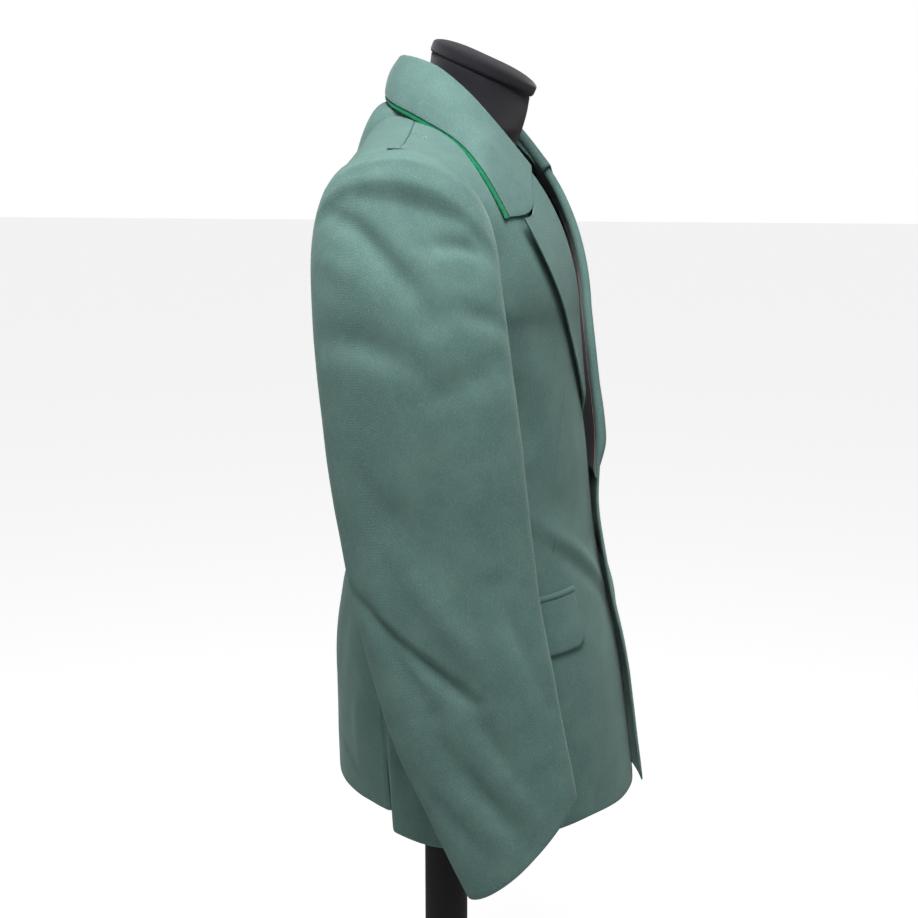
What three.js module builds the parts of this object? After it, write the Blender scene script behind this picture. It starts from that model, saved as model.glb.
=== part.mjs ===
import * as THREE from 'three';

// A military tunic on a limbless dress form. Millimetres, +Z up.
// The wearer faces -Y, and the wearer's left is +X. The origin is the middle of the stand's foot.
// Surfaces are worked out for one side with x counted outwards from the middle of the body,
// and hand (-1 right, +1 left) places them.

const RIGHT = -1;
const LEFT = 1;
const DEGREE = Math.PI / 180;

// Cloth
const cloth = 1.5;
const facingCloth = 1.3;
const liningCloth = 1;
const pipingWidth = 2;
const layerGap = 0.4;
const insideGap = 1.3;
const seamGap = 0.16;

// Body of the tunic
const hemZ = 641;
const armLevelZ = 1180;
const sideLineY = -40;
const frontPower = 2.1;
const bodySections = [
  { z: 640, half: 192, front: -217, back: 124, backPower: 1.6 },
  { z: 720, half: 194, front: -206, back: 125, backPower: 1.75 },
  { z: 810, half: 192, front: -193, back: 123, backPower: 1.95 },
  { z: 880, half: 186, front: -176, back: 111, backPower: 2.1 },
  { z: 960, half: 180, front: -162, back: 94, backPower: 2.2 },
  { z: 1040, half: 182, front: -155, back: 88, backPower: 2.3 },
  { z: 1110, half: 190, front: -150, back: 91, backPower: 2.5 },
  { z: 1180, half: 198, front: -147, back: 95, backPower: 2.7 },
];

// Shoulder line from the neck to the sleeve, and the neck line behind
const neckPoint = { x: 85, y: 12, z: 1384 };
const shoulderPoint = { x: 235, y: 2, z: 1344 };
const shoulderHollow = 6;
const nape = { y: 54, z: 1400 };
const napeShare = 0.36;
const frontDome = { atMiddle: 2, atSleeve: 1.8 };
const backDome = { atMiddle: 2.5, atSleeve: 3.2 };
const upperShare = 0.38;

// Front opening: how far each front's edge or roll line stands out from the middle
const opening = [
  { z: 640, out: -20 },
  { z: 975, out: -20 },
  { z: 1047, out: -1 },
  { z: 1107, out: 19 },
  { z: 1213, out: 53 },
  { z: 1291, out: 78 },
  { z: 1323, out: 87 },
  { z: 1349, out: 89 },
  { z: 1368, out: 90 },
  { z: 1384, out: 85 },
];
const hemCornerRadius = 24;

// Hem heights round the body, by section angle in degrees from the middle of the front
const frontHem = [
  { turn: -8, z: 647 },
  { turn: 20, z: 651 },
  { turn: 45, z: 657 },
  { turn: 92, z: 641 },
  { turn: 125, z: 641 },
];
const backHem = [
  { turn: 110, z: 664 },
  { turn: 150, z: 656 },
  { turn: 180, z: 650 },
];

// The left front laps over the right one and stands off it
const lapRise = [
  { z: 640, rise: 13 },
  { z: 900, rise: 13 },
  { z: 975, rise: 12 },
  { z: 1042, rise: 17 },
  { z: 1110, rise: 12 },
  { z: 1200, rise: 4 },
  { z: 1290, rise: 0 },
  { z: 1384, rise: 0 },
];
const lapReach = 85;

// Side vents, between the side panel and the back
const vent = { topZ: 880, widestZ: 775, gape: 9 };

// Sleeve rings, from the armhole to the cuff: outer and inner side, front and back edge
const sleeveRings = [
  { ring: 0, outX: 235, outZ: 1344, inX: 198, inZ: 1165, frontY: -68, frontZ: 1254.5, backY: 78, backZ: 1251 },
  { ring: 1, outX: 259, outZ: 1347, inX: 200, inZ: 1163, frontY: -84, frontZ: 1262, backY: 80, backZ: 1252 },
  { ring: 2, outX: 280, outZ: 1331, inX: 203, inZ: 1160, frontY: -93, frontZ: 1252, backY: 80, backZ: 1246 },
  { ring: 3, outX: 293, outZ: 1292, inX: 207, inZ: 1155, frontY: -99, frontZ: 1222, backY: 79, backZ: 1226 },
  { ring: 4, outX: 300, outZ: 1228, inX: 210, inZ: 1140, frontY: -106, frontZ: 1180, backY: 77, backZ: 1188 },
  { ring: 5, outX: 299, outZ: 1150, inX: 213, inZ: 1110, frontY: -113, frontZ: 1127, backY: 73, backZ: 1130 },
  { ring: 6, outX: 291, outZ: 1065, inX: 217, inZ: 1050, frontY: -121, frontZ: 1060, backY: 66, backZ: 1055 },
  { ring: 7, outX: 282, outZ: 990, inX: 220, inZ: 990, frontY: -128, frontZ: 995, backY: 56, backZ: 985 },
  { ring: 8, outX: 278, outZ: 922, inX: 221, inZ: 922, frontY: -137, frontZ: 930, backY: 43, backZ: 914 },
  { ring: 9, outX: 275, outZ: 855, inX: 222, inZ: 855, frontY: -149, frontZ: 868, backY: 26, backZ: 842 },
  { ring: 10, outX: 272, outZ: 791, inX: 223, inZ: 791, frontY: -159, frontZ: 814, backY: 3, backZ: 768 },
  { ring: 11, outX: 269, outZ: 724, inX: 224, inZ: 732, frontY: -168, frontZ: 768, backY: -30, backZ: 698 },
  { ring: 12, outX: 266, outZ: 656, inX: 225, inZ: 678, frontY: -174, frontZ: 734, backY: -67, backZ: 622 },
];
const armholeScoop = [
  { ring: 0, scoop: 30 },
  { ring: 1, scoop: 14 },
  { ring: 2, scoop: 4 },
  { ring: 3, scoop: 0 },
  { ring: 4, scoop: 0 },
];
const lastRing = 12;
const sleeveStart = 1.5;
const frontSleeveSeam = 112;
const backSleeveSeam = -104;

// Soft troughs of the sleeve: places as ring number and angle round from the outer side
const sleeveFolds = [
  { fromRing: 1.7, fromAngle: 62, toRing: 2.2, toAngle: -74, width: 13, depth: 5 },
  { fromRing: 2.6, fromAngle: -78, toRing: 5.2, toAngle: 12, width: 16, depth: 5 },
  { fromRing: 8.2, fromAngle: -70, toRing: 9.9, toAngle: 44, width: 14, depth: 5 },
  { fromRing: 9.4, fromAngle: -72, toRing: 11.2, toAngle: 30, width: 13, depth: 4 },
];

// Soft ridges of the fronts: places as distance out from the middle and height
const frontFolds = [
  { fromX: 150, fromZ: 985, toX: 8, toZ: 880, width: 15, depth: -4 },
  { fromX: 150, fromZ: 1010, toX: 60, toZ: 965, width: 18, depth: 3 },
];

// Lapel and facing, from where the roll starts up to the gorge
const lapel = { startLeftZ: 1000, startRightZ: 1062, gorgeZ: 1324, facing: 32 };
const lapelReach = [
  { z: 1000, width: 9 },
  { z: 1062, width: 17 },
  { z: 1107, width: 30 },
  { z: 1175, width: 58 },
  { z: 1240, width: 74 },
  { z: 1324, width: 80 },
];
const gorge = [
  { share: 0, lapelDrop: 0.8, collarDrop: -3.4 },
  { share: 0.34, lapelDrop: 19, collarDrop: 16.4 },
  { share: 0.68, lapelDrop: 39, collarDrop: 37 },
  { share: 1, lapelDrop: 44, collarDrop: 31 },
];
const lapelLift = { atRoll: 4.4, inside: 3, atEdge: 5, atCorner: 7 };

// Collar: fold line and outer edge, from the nape (0) over the shoulder (0.5) to the gorge (1)
const collarStations = [
  { at: 0, foldX: 0, foldY: 41, foldZ: 1443, edgeX: 0, edgeY: 59, edgeZ: 1411 },
  { at: 0.2, foldX: 37, foldY: 33, foldZ: 1442, edgeX: 46, edgeY: 53, edgeZ: 1405 },
  { at: 0.38, foldX: 61, foldY: 12, foldZ: 1436, edgeX: 82, edgeY: 37, edgeZ: 1394 },
  { at: 0.5, foldX: 71, foldY: -8, foldZ: 1427, edgeX: 104, edgeY: 8, edgeZ: 1383 },
  { at: 0.66, foldX: 79, foldY: -36, foldZ: 1404, edgeX: 125, edgeY: -34, edgeZ: 1366 },
  { at: 0.84, foldX: 86, foldY: -68, foldZ: 1369, edgeX: 145, edgeY: -78, edgeZ: 1327 },
];
const collarBulge = 3;
const collarFall = 45;
const standClear = 4.2;
const standTuck = 5;
const feltCloth = 1;
const feltProud = 1.6;

// Pockets, loops
const pocket = { frontX: 100, backX: 168, topZ: 897, flap: 55, jet: 6, corner: 14, cloth: 1.8 };
const shoulderLoop = { fromX: 219, toX: 228, fromShare: 0.995, toShare: 0.925, rise: 2.6, cloth: 1.6 };

// Dress form: rings from the bottom of the torso to the top of the neck
const formSections = [
  { z: 700, half: 148, front: -148, back: 92, middle: -30, power: 2.2, tilt: 0 },
  { z: 706, half: 156, front: -156, back: 98, middle: -30, power: 2.2, tilt: 0 },
  { z: 790, half: 168, front: -156, back: 104, middle: -30, power: 2.2, tilt: 0 },
  { z: 880, half: 158, front: -138, back: 93, middle: -28, power: 2.2, tilt: 0 },
  { z: 970, half: 142, front: -124, back: 78, middle: -26, power: 2.2, tilt: 0 },
  { z: 1060, half: 150, front: -122, back: 76, middle: -24, power: 2.2, tilt: 0 },
  { z: 1150, half: 166, front: -120, back: 82, middle: -22, power: 2.2, tilt: 0 },
  { z: 1220, half: 176, front: -112, back: 84, middle: -14, power: 2.2, tilt: 0 },
  { z: 1270, half: 180, front: -98, back: 80, middle: -4, power: 2.1, tilt: 0 },
  { z: 1310, half: 180, front: -84, back: 72, middle: 0, power: 1.9, tilt: 0 },
  { z: 1334, half: 166, front: -76, back: 62, middle: 0, power: 1.6, tilt: 0 },
  { z: 1350, half: 128, front: -76, back: 50, middle: -4, power: 1.5, tilt: 0 },
  { z: 1362, half: 96, front: -78, back: 40, middle: -14, power: 1.6, tilt: 0.05 },
  { z: 1378, half: 70, front: -82, back: 28, middle: -28, power: 2, tilt: 0.15 },
  { z: 1402, half: 58, front: -87, back: 18, middle: -35, power: 2, tilt: 0.3 },
  { z: 1426, half: 55, front: -90, back: 13, middle: -38, power: 2, tilt: 0.45 },
];
const formSides = 28;
const neckCap = { rim: 2.5, rise: 16, edge: 5 };
const pole = { radius: 25, footTopZ: 26 };
const foot = { radius: 190, thickness: 14, edge: 4, hubRadius: 45 };

const tunicGreen = 0x56736d;
const collarGreen = 0x718f89;
const feltGreen = 0x10966a;
const liningPlum = 0x241f26;
const pipingPink = 0xb79a9c;
const formBlack = 0x25242d;
const standBlack = 0x1e1d23;

// ---- Reading tables and small curves ----

// A smooth cubic through the named column, with each slope taken from the rows on both sides.
function readTable(rows, key, column, at) {
  const last = rows.length - 1;
  let i = 0;
  while (i < last - 1 && at > rows[i + 1][key]) i += 1;
  const slope = (j) => {
    const before = rows[Math.max(j - 1, 0)];
    const after = rows[Math.min(j + 1, last)];
    return (after[column] - before[column]) / (after[key] - before[key]);
  };
  const step = rows[i + 1][key] - rows[i][key];
  const s = THREE.MathUtils.clamp((at - rows[i][key]) / step, 0, 1);
  const a = rows[i][column];
  const b = rows[i + 1][column];
  const rise = s * s * (3 - 2 * s);
  const leave = s * (1 - s) * (1 - s) * slope(i) * step;
  const arrive = s * s * (s - 1) * slope(i + 1) * step;
  return a + (b - a) * rise + leave + arrive;
}

function mix(a, b, share) {
  return a + (b - a) * share;
}

function smooth(from, to, at) {
  return THREE.MathUtils.smoothstep(at, from, to);
}

function evenly(from, to, count) {
  return Array.from({ length: count }, (_, i) => mix(from, to, i / (count - 1)));
}

// How deep a soft straight fold is at a point: a bell across it that fades out towards both ends.
function foldDepth(across, along, from, to, width, depth) {
  const dx = to[0] - from[0];
  const dy = to[1] - from[1];
  const length = Math.hypot(dx, dy);
  const run = ((across - from[0]) * dx + (along - from[1]) * dy) / length;
  const off = ((across - from[0]) * dy - (along - from[1]) * dx) / length;
  const share = run / length;
  const past = Math.max(0, -share, share - 1) * length;
  const taper = Math.sin(Math.PI * THREE.MathUtils.clamp(share, 0.08, 0.92));
  return depth * taper * Math.exp(-((off / width) ** 2) - (past / width) ** 2);
}

// ---- Solids ----

// A wall of cloth: the surface's points moved along its normals to both faces, and closed round the rim.
// turn is +1 where u crossed with v points out of the cloth's outer face, -1 where it points in.
function clothWall(surface, us, vs, outer, inner, turn) {
  const small = 1e-4;
  const count = us.length * vs.length;
  const points = new Float32Array(count * 6);
  const put = (index, p) => points.set([p.x, p.y, p.z], index * 3);
  us.forEach((u, i) => {
    vs.forEach((v, j) => {
      const uAfter = Math.min(u + small, us[us.length - 1]);
      const uBefore = Math.max(u - small, us[0]);
      const vAfter = Math.min(v + small, vs[vs.length - 1]);
      const vBefore = Math.max(v - small, vs[0]);
      const du = surface(uAfter, v).sub(surface(uBefore, v));
      const dv = surface(u, vAfter).sub(surface(u, vBefore));
      const normal = du.normalize().cross(dv.normalize()).normalize().multiplyScalar(turn);
      const at = surface(u, v);
      const outerDepth = typeof outer === 'function' ? outer(u, v) : outer;
      const innerDepth = typeof inner === 'function' ? inner(u, v) : inner;
      put(i * vs.length + j, at.clone().addScaledVector(normal, outerDepth));
      put(count + i * vs.length + j, at.clone().addScaledVector(normal, innerDepth));
    });
  });
  const faces = [];
  const quad = (a, b, c, d) => {
    if (turn > 0) faces.push(a, b, c, a, c, d);
    else faces.push(a, c, b, a, d, c);
  };
  const id = (i, j, side) => side * count + i * vs.length + j;
  const lastU = us.length - 1;
  const lastV = vs.length - 1;
  for (let i = 0; i < lastU; i += 1) {
    for (let j = 0; j < lastV; j += 1) {
      quad(id(i, j, 0), id(i + 1, j, 0), id(i + 1, j + 1, 0), id(i, j + 1, 0));
      quad(id(i, j, 1), id(i, j + 1, 1), id(i + 1, j + 1, 1), id(i + 1, j, 1));
    }
    quad(id(i, 0, 1), id(i + 1, 0, 1), id(i + 1, 0, 0), id(i, 0, 0));
    quad(id(i, lastV, 0), id(i + 1, lastV, 0), id(i + 1, lastV, 1), id(i, lastV, 1));
  }
  for (let j = 0; j < lastV; j += 1) {
    quad(id(0, j, 0), id(0, j + 1, 0), id(0, j + 1, 1), id(0, j, 1));
    quad(id(lastU, j, 1), id(lastU, j + 1, 1), id(lastU, j + 1, 0), id(lastU, j, 0));
  }
  return meshGeometry(points, faces);
}

// A closed body through rings of the same number of points, with a flat fan over each end.
function ringBody(rings) {
  const sides = rings[0].length;
  const points = new Float32Array((rings.length * sides + 2) * 3);
  rings.flat().forEach((p, i) => points.set([p.x, p.y, p.z], i * 3));
  const middle = (ring) => ring.reduce((sum, p) => sum.add(p), new THREE.Vector3()).divideScalar(sides);
  const low = rings.length * sides;
  const high = low + 1;
  points.set(middle(rings[0]).toArray(), low * 3);
  points.set(middle(rings[rings.length - 1]).toArray(), high * 3);
  const faces = [];
  for (let k = 0; k < sides; k += 1) {
    const next = (k + 1) % sides;
    for (let r = 0; r < rings.length - 1; r += 1) {
      const a = r * sides + k;
      const b = r * sides + next;
      faces.push(a, b, b + sides, a, b + sides, a + sides);
    }
    faces.push(low, next, k);
    faces.push(high, (rings.length - 1) * sides + k, (rings.length - 1) * sides + next);
  }
  return meshGeometry(points, faces);
}

function meshGeometry(points, faces) {
  const geometry = new THREE.BufferGeometry();
  geometry.setAttribute('position', new THREE.BufferAttribute(points, 3));
  geometry.setIndex(faces);
  geometry.computeVertexNormals();
  return geometry;
}

const tunic = new THREE.Group();

function addPiece(name, geometry, color, roughness) {
  const mesh = new THREE.Mesh(geometry, new THREE.MeshStandardMaterial({ color, roughness, metalness: 0 }));
  mesh.name = name;
  tunic.add(mesh);
}

// ---- The surface of the body, one side ----

function superRadius(angle, half, depth, power) {
  const across = (Math.abs(Math.sin(angle)) / half) ** power;
  const along = (Math.abs(Math.cos(angle)) / depth) ** power;
  return (across + along) ** (-1 / power);
}

// A level section: the angle runs from the middle of the front (0) round the side to the back (PI).
function sectionPoint(z, angle) {
  const front = readTable(bodySections, 'z', 'front', z);
  const back = readTable(bodySections, 'z', 'back', z);
  const depth = Math.cos(angle) > 0 ? sideLineY - front : back - sideLineY;
  const power = Math.cos(angle) > 0 ? frontPower : readTable(bodySections, 'z', 'backPower', z);
  const radius = superRadius(angle, readTable(bodySections, 'z', 'half', z), depth, power);
  return new THREE.Vector3(radius * Math.sin(angle), sideLineY - radius * Math.cos(angle), z);
}

// The section angle at which the front lies a given distance out from the middle.
function frontAngle(z, out) {
  const half = readTable(bodySections, 'z', 'half', z);
  const depth = sideLineY - readTable(bodySections, 'z', 'front', z);
  const forward = depth * (1 - (Math.abs(out) / half) ** frontPower) ** (1 / frontPower);
  return Math.atan2(out, forward);
}

// Sleeve and armhole rings. The angle runs from the outer or upper side (0) to the front (90 degrees).
function sleevePoint(ring, angle) {
  const read = (column) => readTable(sleeveRings, 'ring', column, ring);
  const c = Math.cos(angle);
  const s = Math.sin(angle);
  const middleX = (read('outX') + read('inX')) / 2;
  const middleZ = (read('outZ') + read('inZ')) / 2;
  const middleY = (read('frontY') + read('backY')) / 2;
  const sideZ = (read('frontZ') + read('backZ')) / 2;
  const scoop = readTable(armholeScoop, 'ring', 'scoop', ring);
  const slant = ((read('frontZ') - read('backZ')) / 2) * s;
  return new THREE.Vector3(
    middleX + ((read('outX') - read('inX')) / 2) * c - scoop * s ** 4,
    middleY - ((read('backY') - read('frontY')) / 2) * s,
    middleZ + ((read('outZ') - read('inZ')) / 2) * c + slant + (sideZ - middleZ) * s * s,
  );
}

function armholeAngle(z) {
  const { outZ, inZ } = sleeveRings[0];
  return Math.acos(THREE.MathUtils.clamp((z - (outZ + inZ) / 2) / ((outZ - inZ) / 2), -1, 1));
}

const frontSeam = sleevePoint(0, armholeAngle(armLevelZ));
const backSeam = sleevePoint(0, -armholeAngle(armLevelZ));
const frontSeamAngle = Math.atan2(frontSeam.x, sideLineY - frontSeam.y);
const backSeamAngle = Math.atan2(backSeam.x, sideLineY - backSeam.y);

// The shoulder seam, from the neck (0) to the sleeve (1), and the back neck line before it.
function shoulderSeam(share) {
  const hollow = shoulderHollow * Math.sin(Math.PI * share);
  return new THREE.Vector3(
    mix(neckPoint.x, shoulderPoint.x, share),
    mix(neckPoint.y, shoulderPoint.y, share),
    mix(neckPoint.z, shoulderPoint.z, share) - hollow,
  );
}

function backTop(u) {
  if (u > napeShare) return shoulderSeam((u - napeShare) / (1 - napeShare));
  const turn = ((u / napeShare) * Math.PI) / 2;
  return new THREE.Vector3(
    neckPoint.x * Math.sin(turn),
    neckPoint.y + (nape.y - neckPoint.y) * Math.cos(turn),
    neckPoint.z + (nape.z - neckPoint.z) * Math.cos(turn),
  );
}

// Above arm level a panel bends over like a dome from its level section to its top line.
// s is the share of the height, and the two side edges are then drawn onto their own curves.
function domePoint(low, top, s, power) {
  const kept = Math.max(0, 1 - s ** power) ** (1 / power);
  return new THREE.Vector3(mix(low.x, top.x, s), top.y + (low.y - top.y) * kept, mix(low.z, top.z, s));
}

function upperPoint(u, s, lowAt, topAt, power, middleEdge) {
  const at = domePoint(lowAt(u), topAt(u), s, mix(power.atMiddle, power.atSleeve, u));
  const atMiddle = domePoint(lowAt(0), topAt(0), s, power.atMiddle);
  const atSleeve = domePoint(lowAt(1), topAt(1), s, power.atSleeve);
  const front = lowAt(1).y < sideLineY + 30;
  const armhole = sleevePoint(0, (front ? 1 : -1) * armholeAngle(mix(armLevelZ, shoulderPoint.z, s)));
  at.x += (middleEdge(atMiddle.z) - atMiddle.x) * (1 - u) ** 2;
  at.addScaledVector(armhole.sub(atSleeve), u ** 3);
  return at;
}

// Front panel: u from the opening (0) to the side seam and armhole (1), v from the hem to the shoulder.
const lowerShare = 1 - upperShare;

function openingAt(z) {
  return readTable(opening, 'z', 'out', z);
}

function frontLevel(u, z) {
  return sectionPoint(z, mix(frontAngle(z, openingAt(z)), frontSeamAngle, u));
}

function frontHemZ(u) {
  const turn = mix(frontAngle(hemZ, openingAt(hemZ)), frontSeamAngle, u) / DEGREE;
  const fromEdge = frontLevel(u, hemZ).x - openingAt(hemZ);
  const inCorner = Math.max(0, hemCornerRadius - fromEdge);
  const corner = hemCornerRadius - Math.sqrt(hemCornerRadius ** 2 - Math.min(inCorner, hemCornerRadius) ** 2);
  return readTable(frontHem, 'turn', 'z', turn) + corner;
}

function frontSurface(u, v) {
  if (v <= lowerShare) return foldFront(frontLevel(u, mix(frontHemZ(u), armLevelZ, v / lowerShare)));
  const s = Math.sin((Math.PI / 2) * ((v - lowerShare) / upperShare));
  return upperPoint(u, s, (share) => frontLevel(share, armLevelZ), shoulderSeam, frontDome, openingAt);
}

// The v at which a column of the front reaches a height.
function frontHeightShare(u, z) {
  if (z <= armLevelZ) return (lowerShare * (z - frontHemZ(u))) / (armLevelZ - frontHemZ(u));
  const s = (z - armLevelZ) / (shoulderSeam(u).z - armLevelZ);
  return lowerShare + (upperShare * Math.asin(Math.min(s, 1)) * 2) / Math.PI;
}

function foldFront(p) {
  frontFolds.forEach((fold) => {
    const from = [fold.fromX, fold.fromZ];
    const to = [fold.toX, fold.toZ];
    p.y += foldDepth(p.x, p.z, from, to, fold.width, fold.depth);
  });
  return p;
}

// Back panel: u from the centre seam (0) to the side seam and armhole (1).
function backSurface(u, v) {
  const levelAt = (share, z) => {
    const open = z < vent.topZ ? ventGape(z) / readTable(bodySections, 'z', 'half', z) : 0;
    return sectionPoint(z, mix(Math.PI, backSeamAngle + open, share));
  };
  if (v <= lowerShare) {
    const hem = readTable(backHem, 'turn', 'z', mix(Math.PI, backSeamAngle, u) / DEGREE);
    return levelAt(u, mix(hem, armLevelZ, v / lowerShare));
  }
  const s = Math.sin((Math.PI / 2) * ((v - lowerShare) / upperShare));
  return upperPoint(u, s, (share) => levelAt(share, armLevelZ), backTop, backDome, () => 0);
}

function ventGape(z) {
  const above = (z - vent.widestZ) / (vent.topZ - vent.widestZ);
  const below = (vent.widestZ - z) / (vent.widestZ - hemZ);
  return vent.gape * Math.cos((Math.PI / 2) * THREE.MathUtils.clamp(Math.max(above, below), 0, 1)) ** 2;
}

// Side panel: u from the front seam to the back seam, v from the hem to the armhole.
function sideSurface(u, v) {
  const angle = mix(frontSeamAngle, backSeamAngle, u);
  const turn = mix(armholeAngle(armLevelZ), 2 * Math.PI - armholeAngle(armLevelZ), u);
  const top = sleevePoint(0, turn);
  const hem = readTable(frontHem, 'turn', 'z', angle / DEGREE);
  const p = sectionPoint(mix(hem, top.z, v), angle);
  const under = sectionPoint(top.z, angle);
  return p.addScaledVector(top.sub(under), v ** 8);
}

function place(p, hand) {
  return new THREE.Vector3(p.x * hand, p.y, p.z);
}

// The left front stands forward of the right one near the opening.
function frontOnHand(u, v, hand) {
  const p = frontSurface(u, v);
  if (hand === LEFT) {
    const near = THREE.MathUtils.clamp(1 - (p.x - readTable(opening, 'z', 'out', p.z)) / lapReach, 0, 1);
    p.y -= Math.max(0, readTable(lapRise, 'z', 'rise', p.z)) * near * near * (3 - 2 * near);
  }
  return place(p, hand);
}

// ---- Body panels ----

const frontColumns = [0, 0.02, 0.045, 0.08, 0.13, 0.2, 0.29, 0.39, 0.5, 0.61, 0.71, 0.81, 0.91, 1];
const panelRows = [...evenly(0, 1 - upperShare, 14), ...evenly(1 - upperShare, 1, 9).slice(1)];
const seamInset = 0.0011;

function inset(list, low, high) {
  return list.map((value, i) => value + (i === 0 ? low : 0) - (i === list.length - 1 ? high : 0));
}

function addBody(side, hand) {
  const frontRows = inset(panelRows, 0, seamGap * 0.006);
  const front = (u, v) => frontOnHand(u, v, hand);
  const frontWall = clothWall(front, inset(frontColumns, 0, seamInset), frontRows, 0, -cloth, hand);
  addPiece(`front_${side}`, frontWall, tunicGreen, 0.85);

  const sideSheet = (u, v) => place(sideSurface(u, v), hand);
  const sideColumns = inset(evenly(0, 1, 6), 0.0024, 0.0024);
  const sideWall = clothWall(sideSheet, sideColumns, evenly(0, 1, 16), 0, -cloth, hand);
  addPiece(`side_${side}`, sideWall, tunicGreen, 0.85);

  const back = (u, v) => place(backSurface(u, v), hand);
  const backColumns = inset([0, 0.12, 0.24, 0.36, 0.48, 0.6, 0.72, 0.82, 0.91, 1], seamInset, seamInset);
  addPiece(`back_${side}`, clothWall(back, backColumns, frontRows, 0, -cloth, -hand), tunicGreen, 0.85);
}

// ---- Sleeves ----

// Distances round and along the sleeve that the folds are laid out in, per radian and per ring
const sleeveRound = 85;
const sleeveAlong = 68;

function sleeveSurface(angle, ring) {
  const p = sleevePoint(ring, angle);
  const middle = sleevePoint(ring, 0).add(sleevePoint(ring, Math.PI)).multiplyScalar(0.5);
  const out = p.clone().sub(middle).normalize();
  let depth = 0;
  sleeveFolds.forEach((fold) => {
    const from = [fold.fromAngle * DEGREE * sleeveRound, fold.fromRing * sleeveAlong];
    const to = [fold.toAngle * DEGREE * sleeveRound, fold.toRing * sleeveAlong];
    depth += foldDepth(angle * sleeveRound, ring * sleeveAlong, from, to, fold.width, fold.depth);
  });
  p.x += sleeveStart;
  return p.addScaledVector(out, -depth);
}

function addSleeve(side, hand) {
  const sheet = (angle, ring) => place(sleeveSurface(angle, ring), hand);
  const seam = 0.38;
  const rings = [0, 0.5, 1, 1.5, 2, 2.5, 3, 3.6, ...evenly(4.3, lastRing, 12)];
  const upperAngles = evenly((backSleeveSeam + seam) * DEGREE, (frontSleeveSeam - seam) * DEGREE, 14);
  const underAngles = evenly((frontSleeveSeam + seam) * DEGREE, (360 + backSleeveSeam - seam) * DEGREE, 8);
  addPiece(`sleeve_upper_${side}`, clothWall(sheet, upperAngles, rings, 0, -cloth, hand), tunicGreen, 0.85);
  addPiece(`sleeve_under_${side}`, clothWall(sheet, underAngles, rings, 0, -cloth, hand), tunicGreen, 0.85);
}

// ---- Lapels, facings and linings ----

function frontAtHeight(u, z, hand) {
  return frontOnHand(u, frontHeightShare(u, z), hand);
}

function frontNormal(u, z, hand) {
  const small = 1e-3;
  const across = frontAtHeight(u + small, z, hand).sub(frontAtHeight(u, z, hand));
  const up = frontAtHeight(u, z + 1, hand).sub(frontAtHeight(u, z - 1, hand));
  return across.cross(up).normalize().multiplyScalar(hand);
}

function frontWidth(z, hand) {
  const stops = evenly(0, 1, 9).map((u) => frontAtHeight(u, z, hand));
  return stops.slice(1).reduce((sum, p, i) => sum + p.distanceTo(stops[i]), 0);
}

// The way a front points at its edge, out of the cloth.
function frontOutward(z) {
  return frontAtHeight(0, z, LEFT).sub(frontAtHeight(0.02, z, LEFT)).normalize();
}

// The middle of a layer lying at a distance in from the roll line and a rise off the front's face.
function onFront(distance, z, rise, hand) {
  const u = distance / frontWidth(z, hand);
  return frontAtHeight(u, z, hand).addScaledVector(frontNormal(u, z, hand), rise);
}

const facingDepth = cloth + insideGap + facingCloth / 2;
const rollRadius = (lapelLift.atRoll + facingDepth) / 2;
const collarRadius = rollRadius + 0.9;

// Round the roll line: turn runs from the inside of the front (-90 degrees) to the lapel (90 degrees).
function rollPoint(z, turn, hand) {
  const normal = frontNormal(0, z, hand);
  return frontAtHeight(0, z, hand)
    .addScaledVector(normal, lapelLift.atRoll - rollRadius + rollRadius * Math.sin(turn))
    .addScaledVector(place(frontOutward(z), hand), layerGap + rollRadius * Math.cos(turn));
}

// The lapel's face: share q of its width out from the roll line, at t of the way up to the gorge.
function lapelPoint(q, t, hand) {
  const startZ = hand === LEFT ? lapel.startLeftZ : lapel.startRightZ;
  const z = mix(startZ, lapel.gorgeZ, t);
  const width = readTable(lapelReach, 'z', 'width', z);
  const dip = 4 * (lapelLift.inside - lapelLift.atRoll) * q * (1 - q);
  const lift = mix(lapelLift.atRoll, lapelLift.atEdge, q) + dip + lapelLift.atCorner * q * q * t ** 3;
  return onFront(q * width, z - readTable(gorge, 'share', 'lapelDrop', q) * t * t, lift, hand);
}

// From the facing's inner edge (0) round the roll line to the lapel's edge (1).
const stripShare = 0.3;
const turnShare = 0.5;

function facingSurface(s, t, hand) {
  const startZ = hand === LEFT ? lapel.startLeftZ : lapel.startRightZ;
  const z = mix(startZ, lapel.gorgeZ, t);
  if (s < stripShare) return onFront(lapel.facing * (1 - s / stripShare), z, -facingDepth, hand);
  if (s < turnShare) {
    const turn = mix(-90, 90, (s - stripShare) / (turnShare - stripShare)) * DEGREE;
    return rollPoint(z, turn, hand);
  }
  return lapelPoint((s - turnShare) / (1 - turnShare), t, hand);
}

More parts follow.
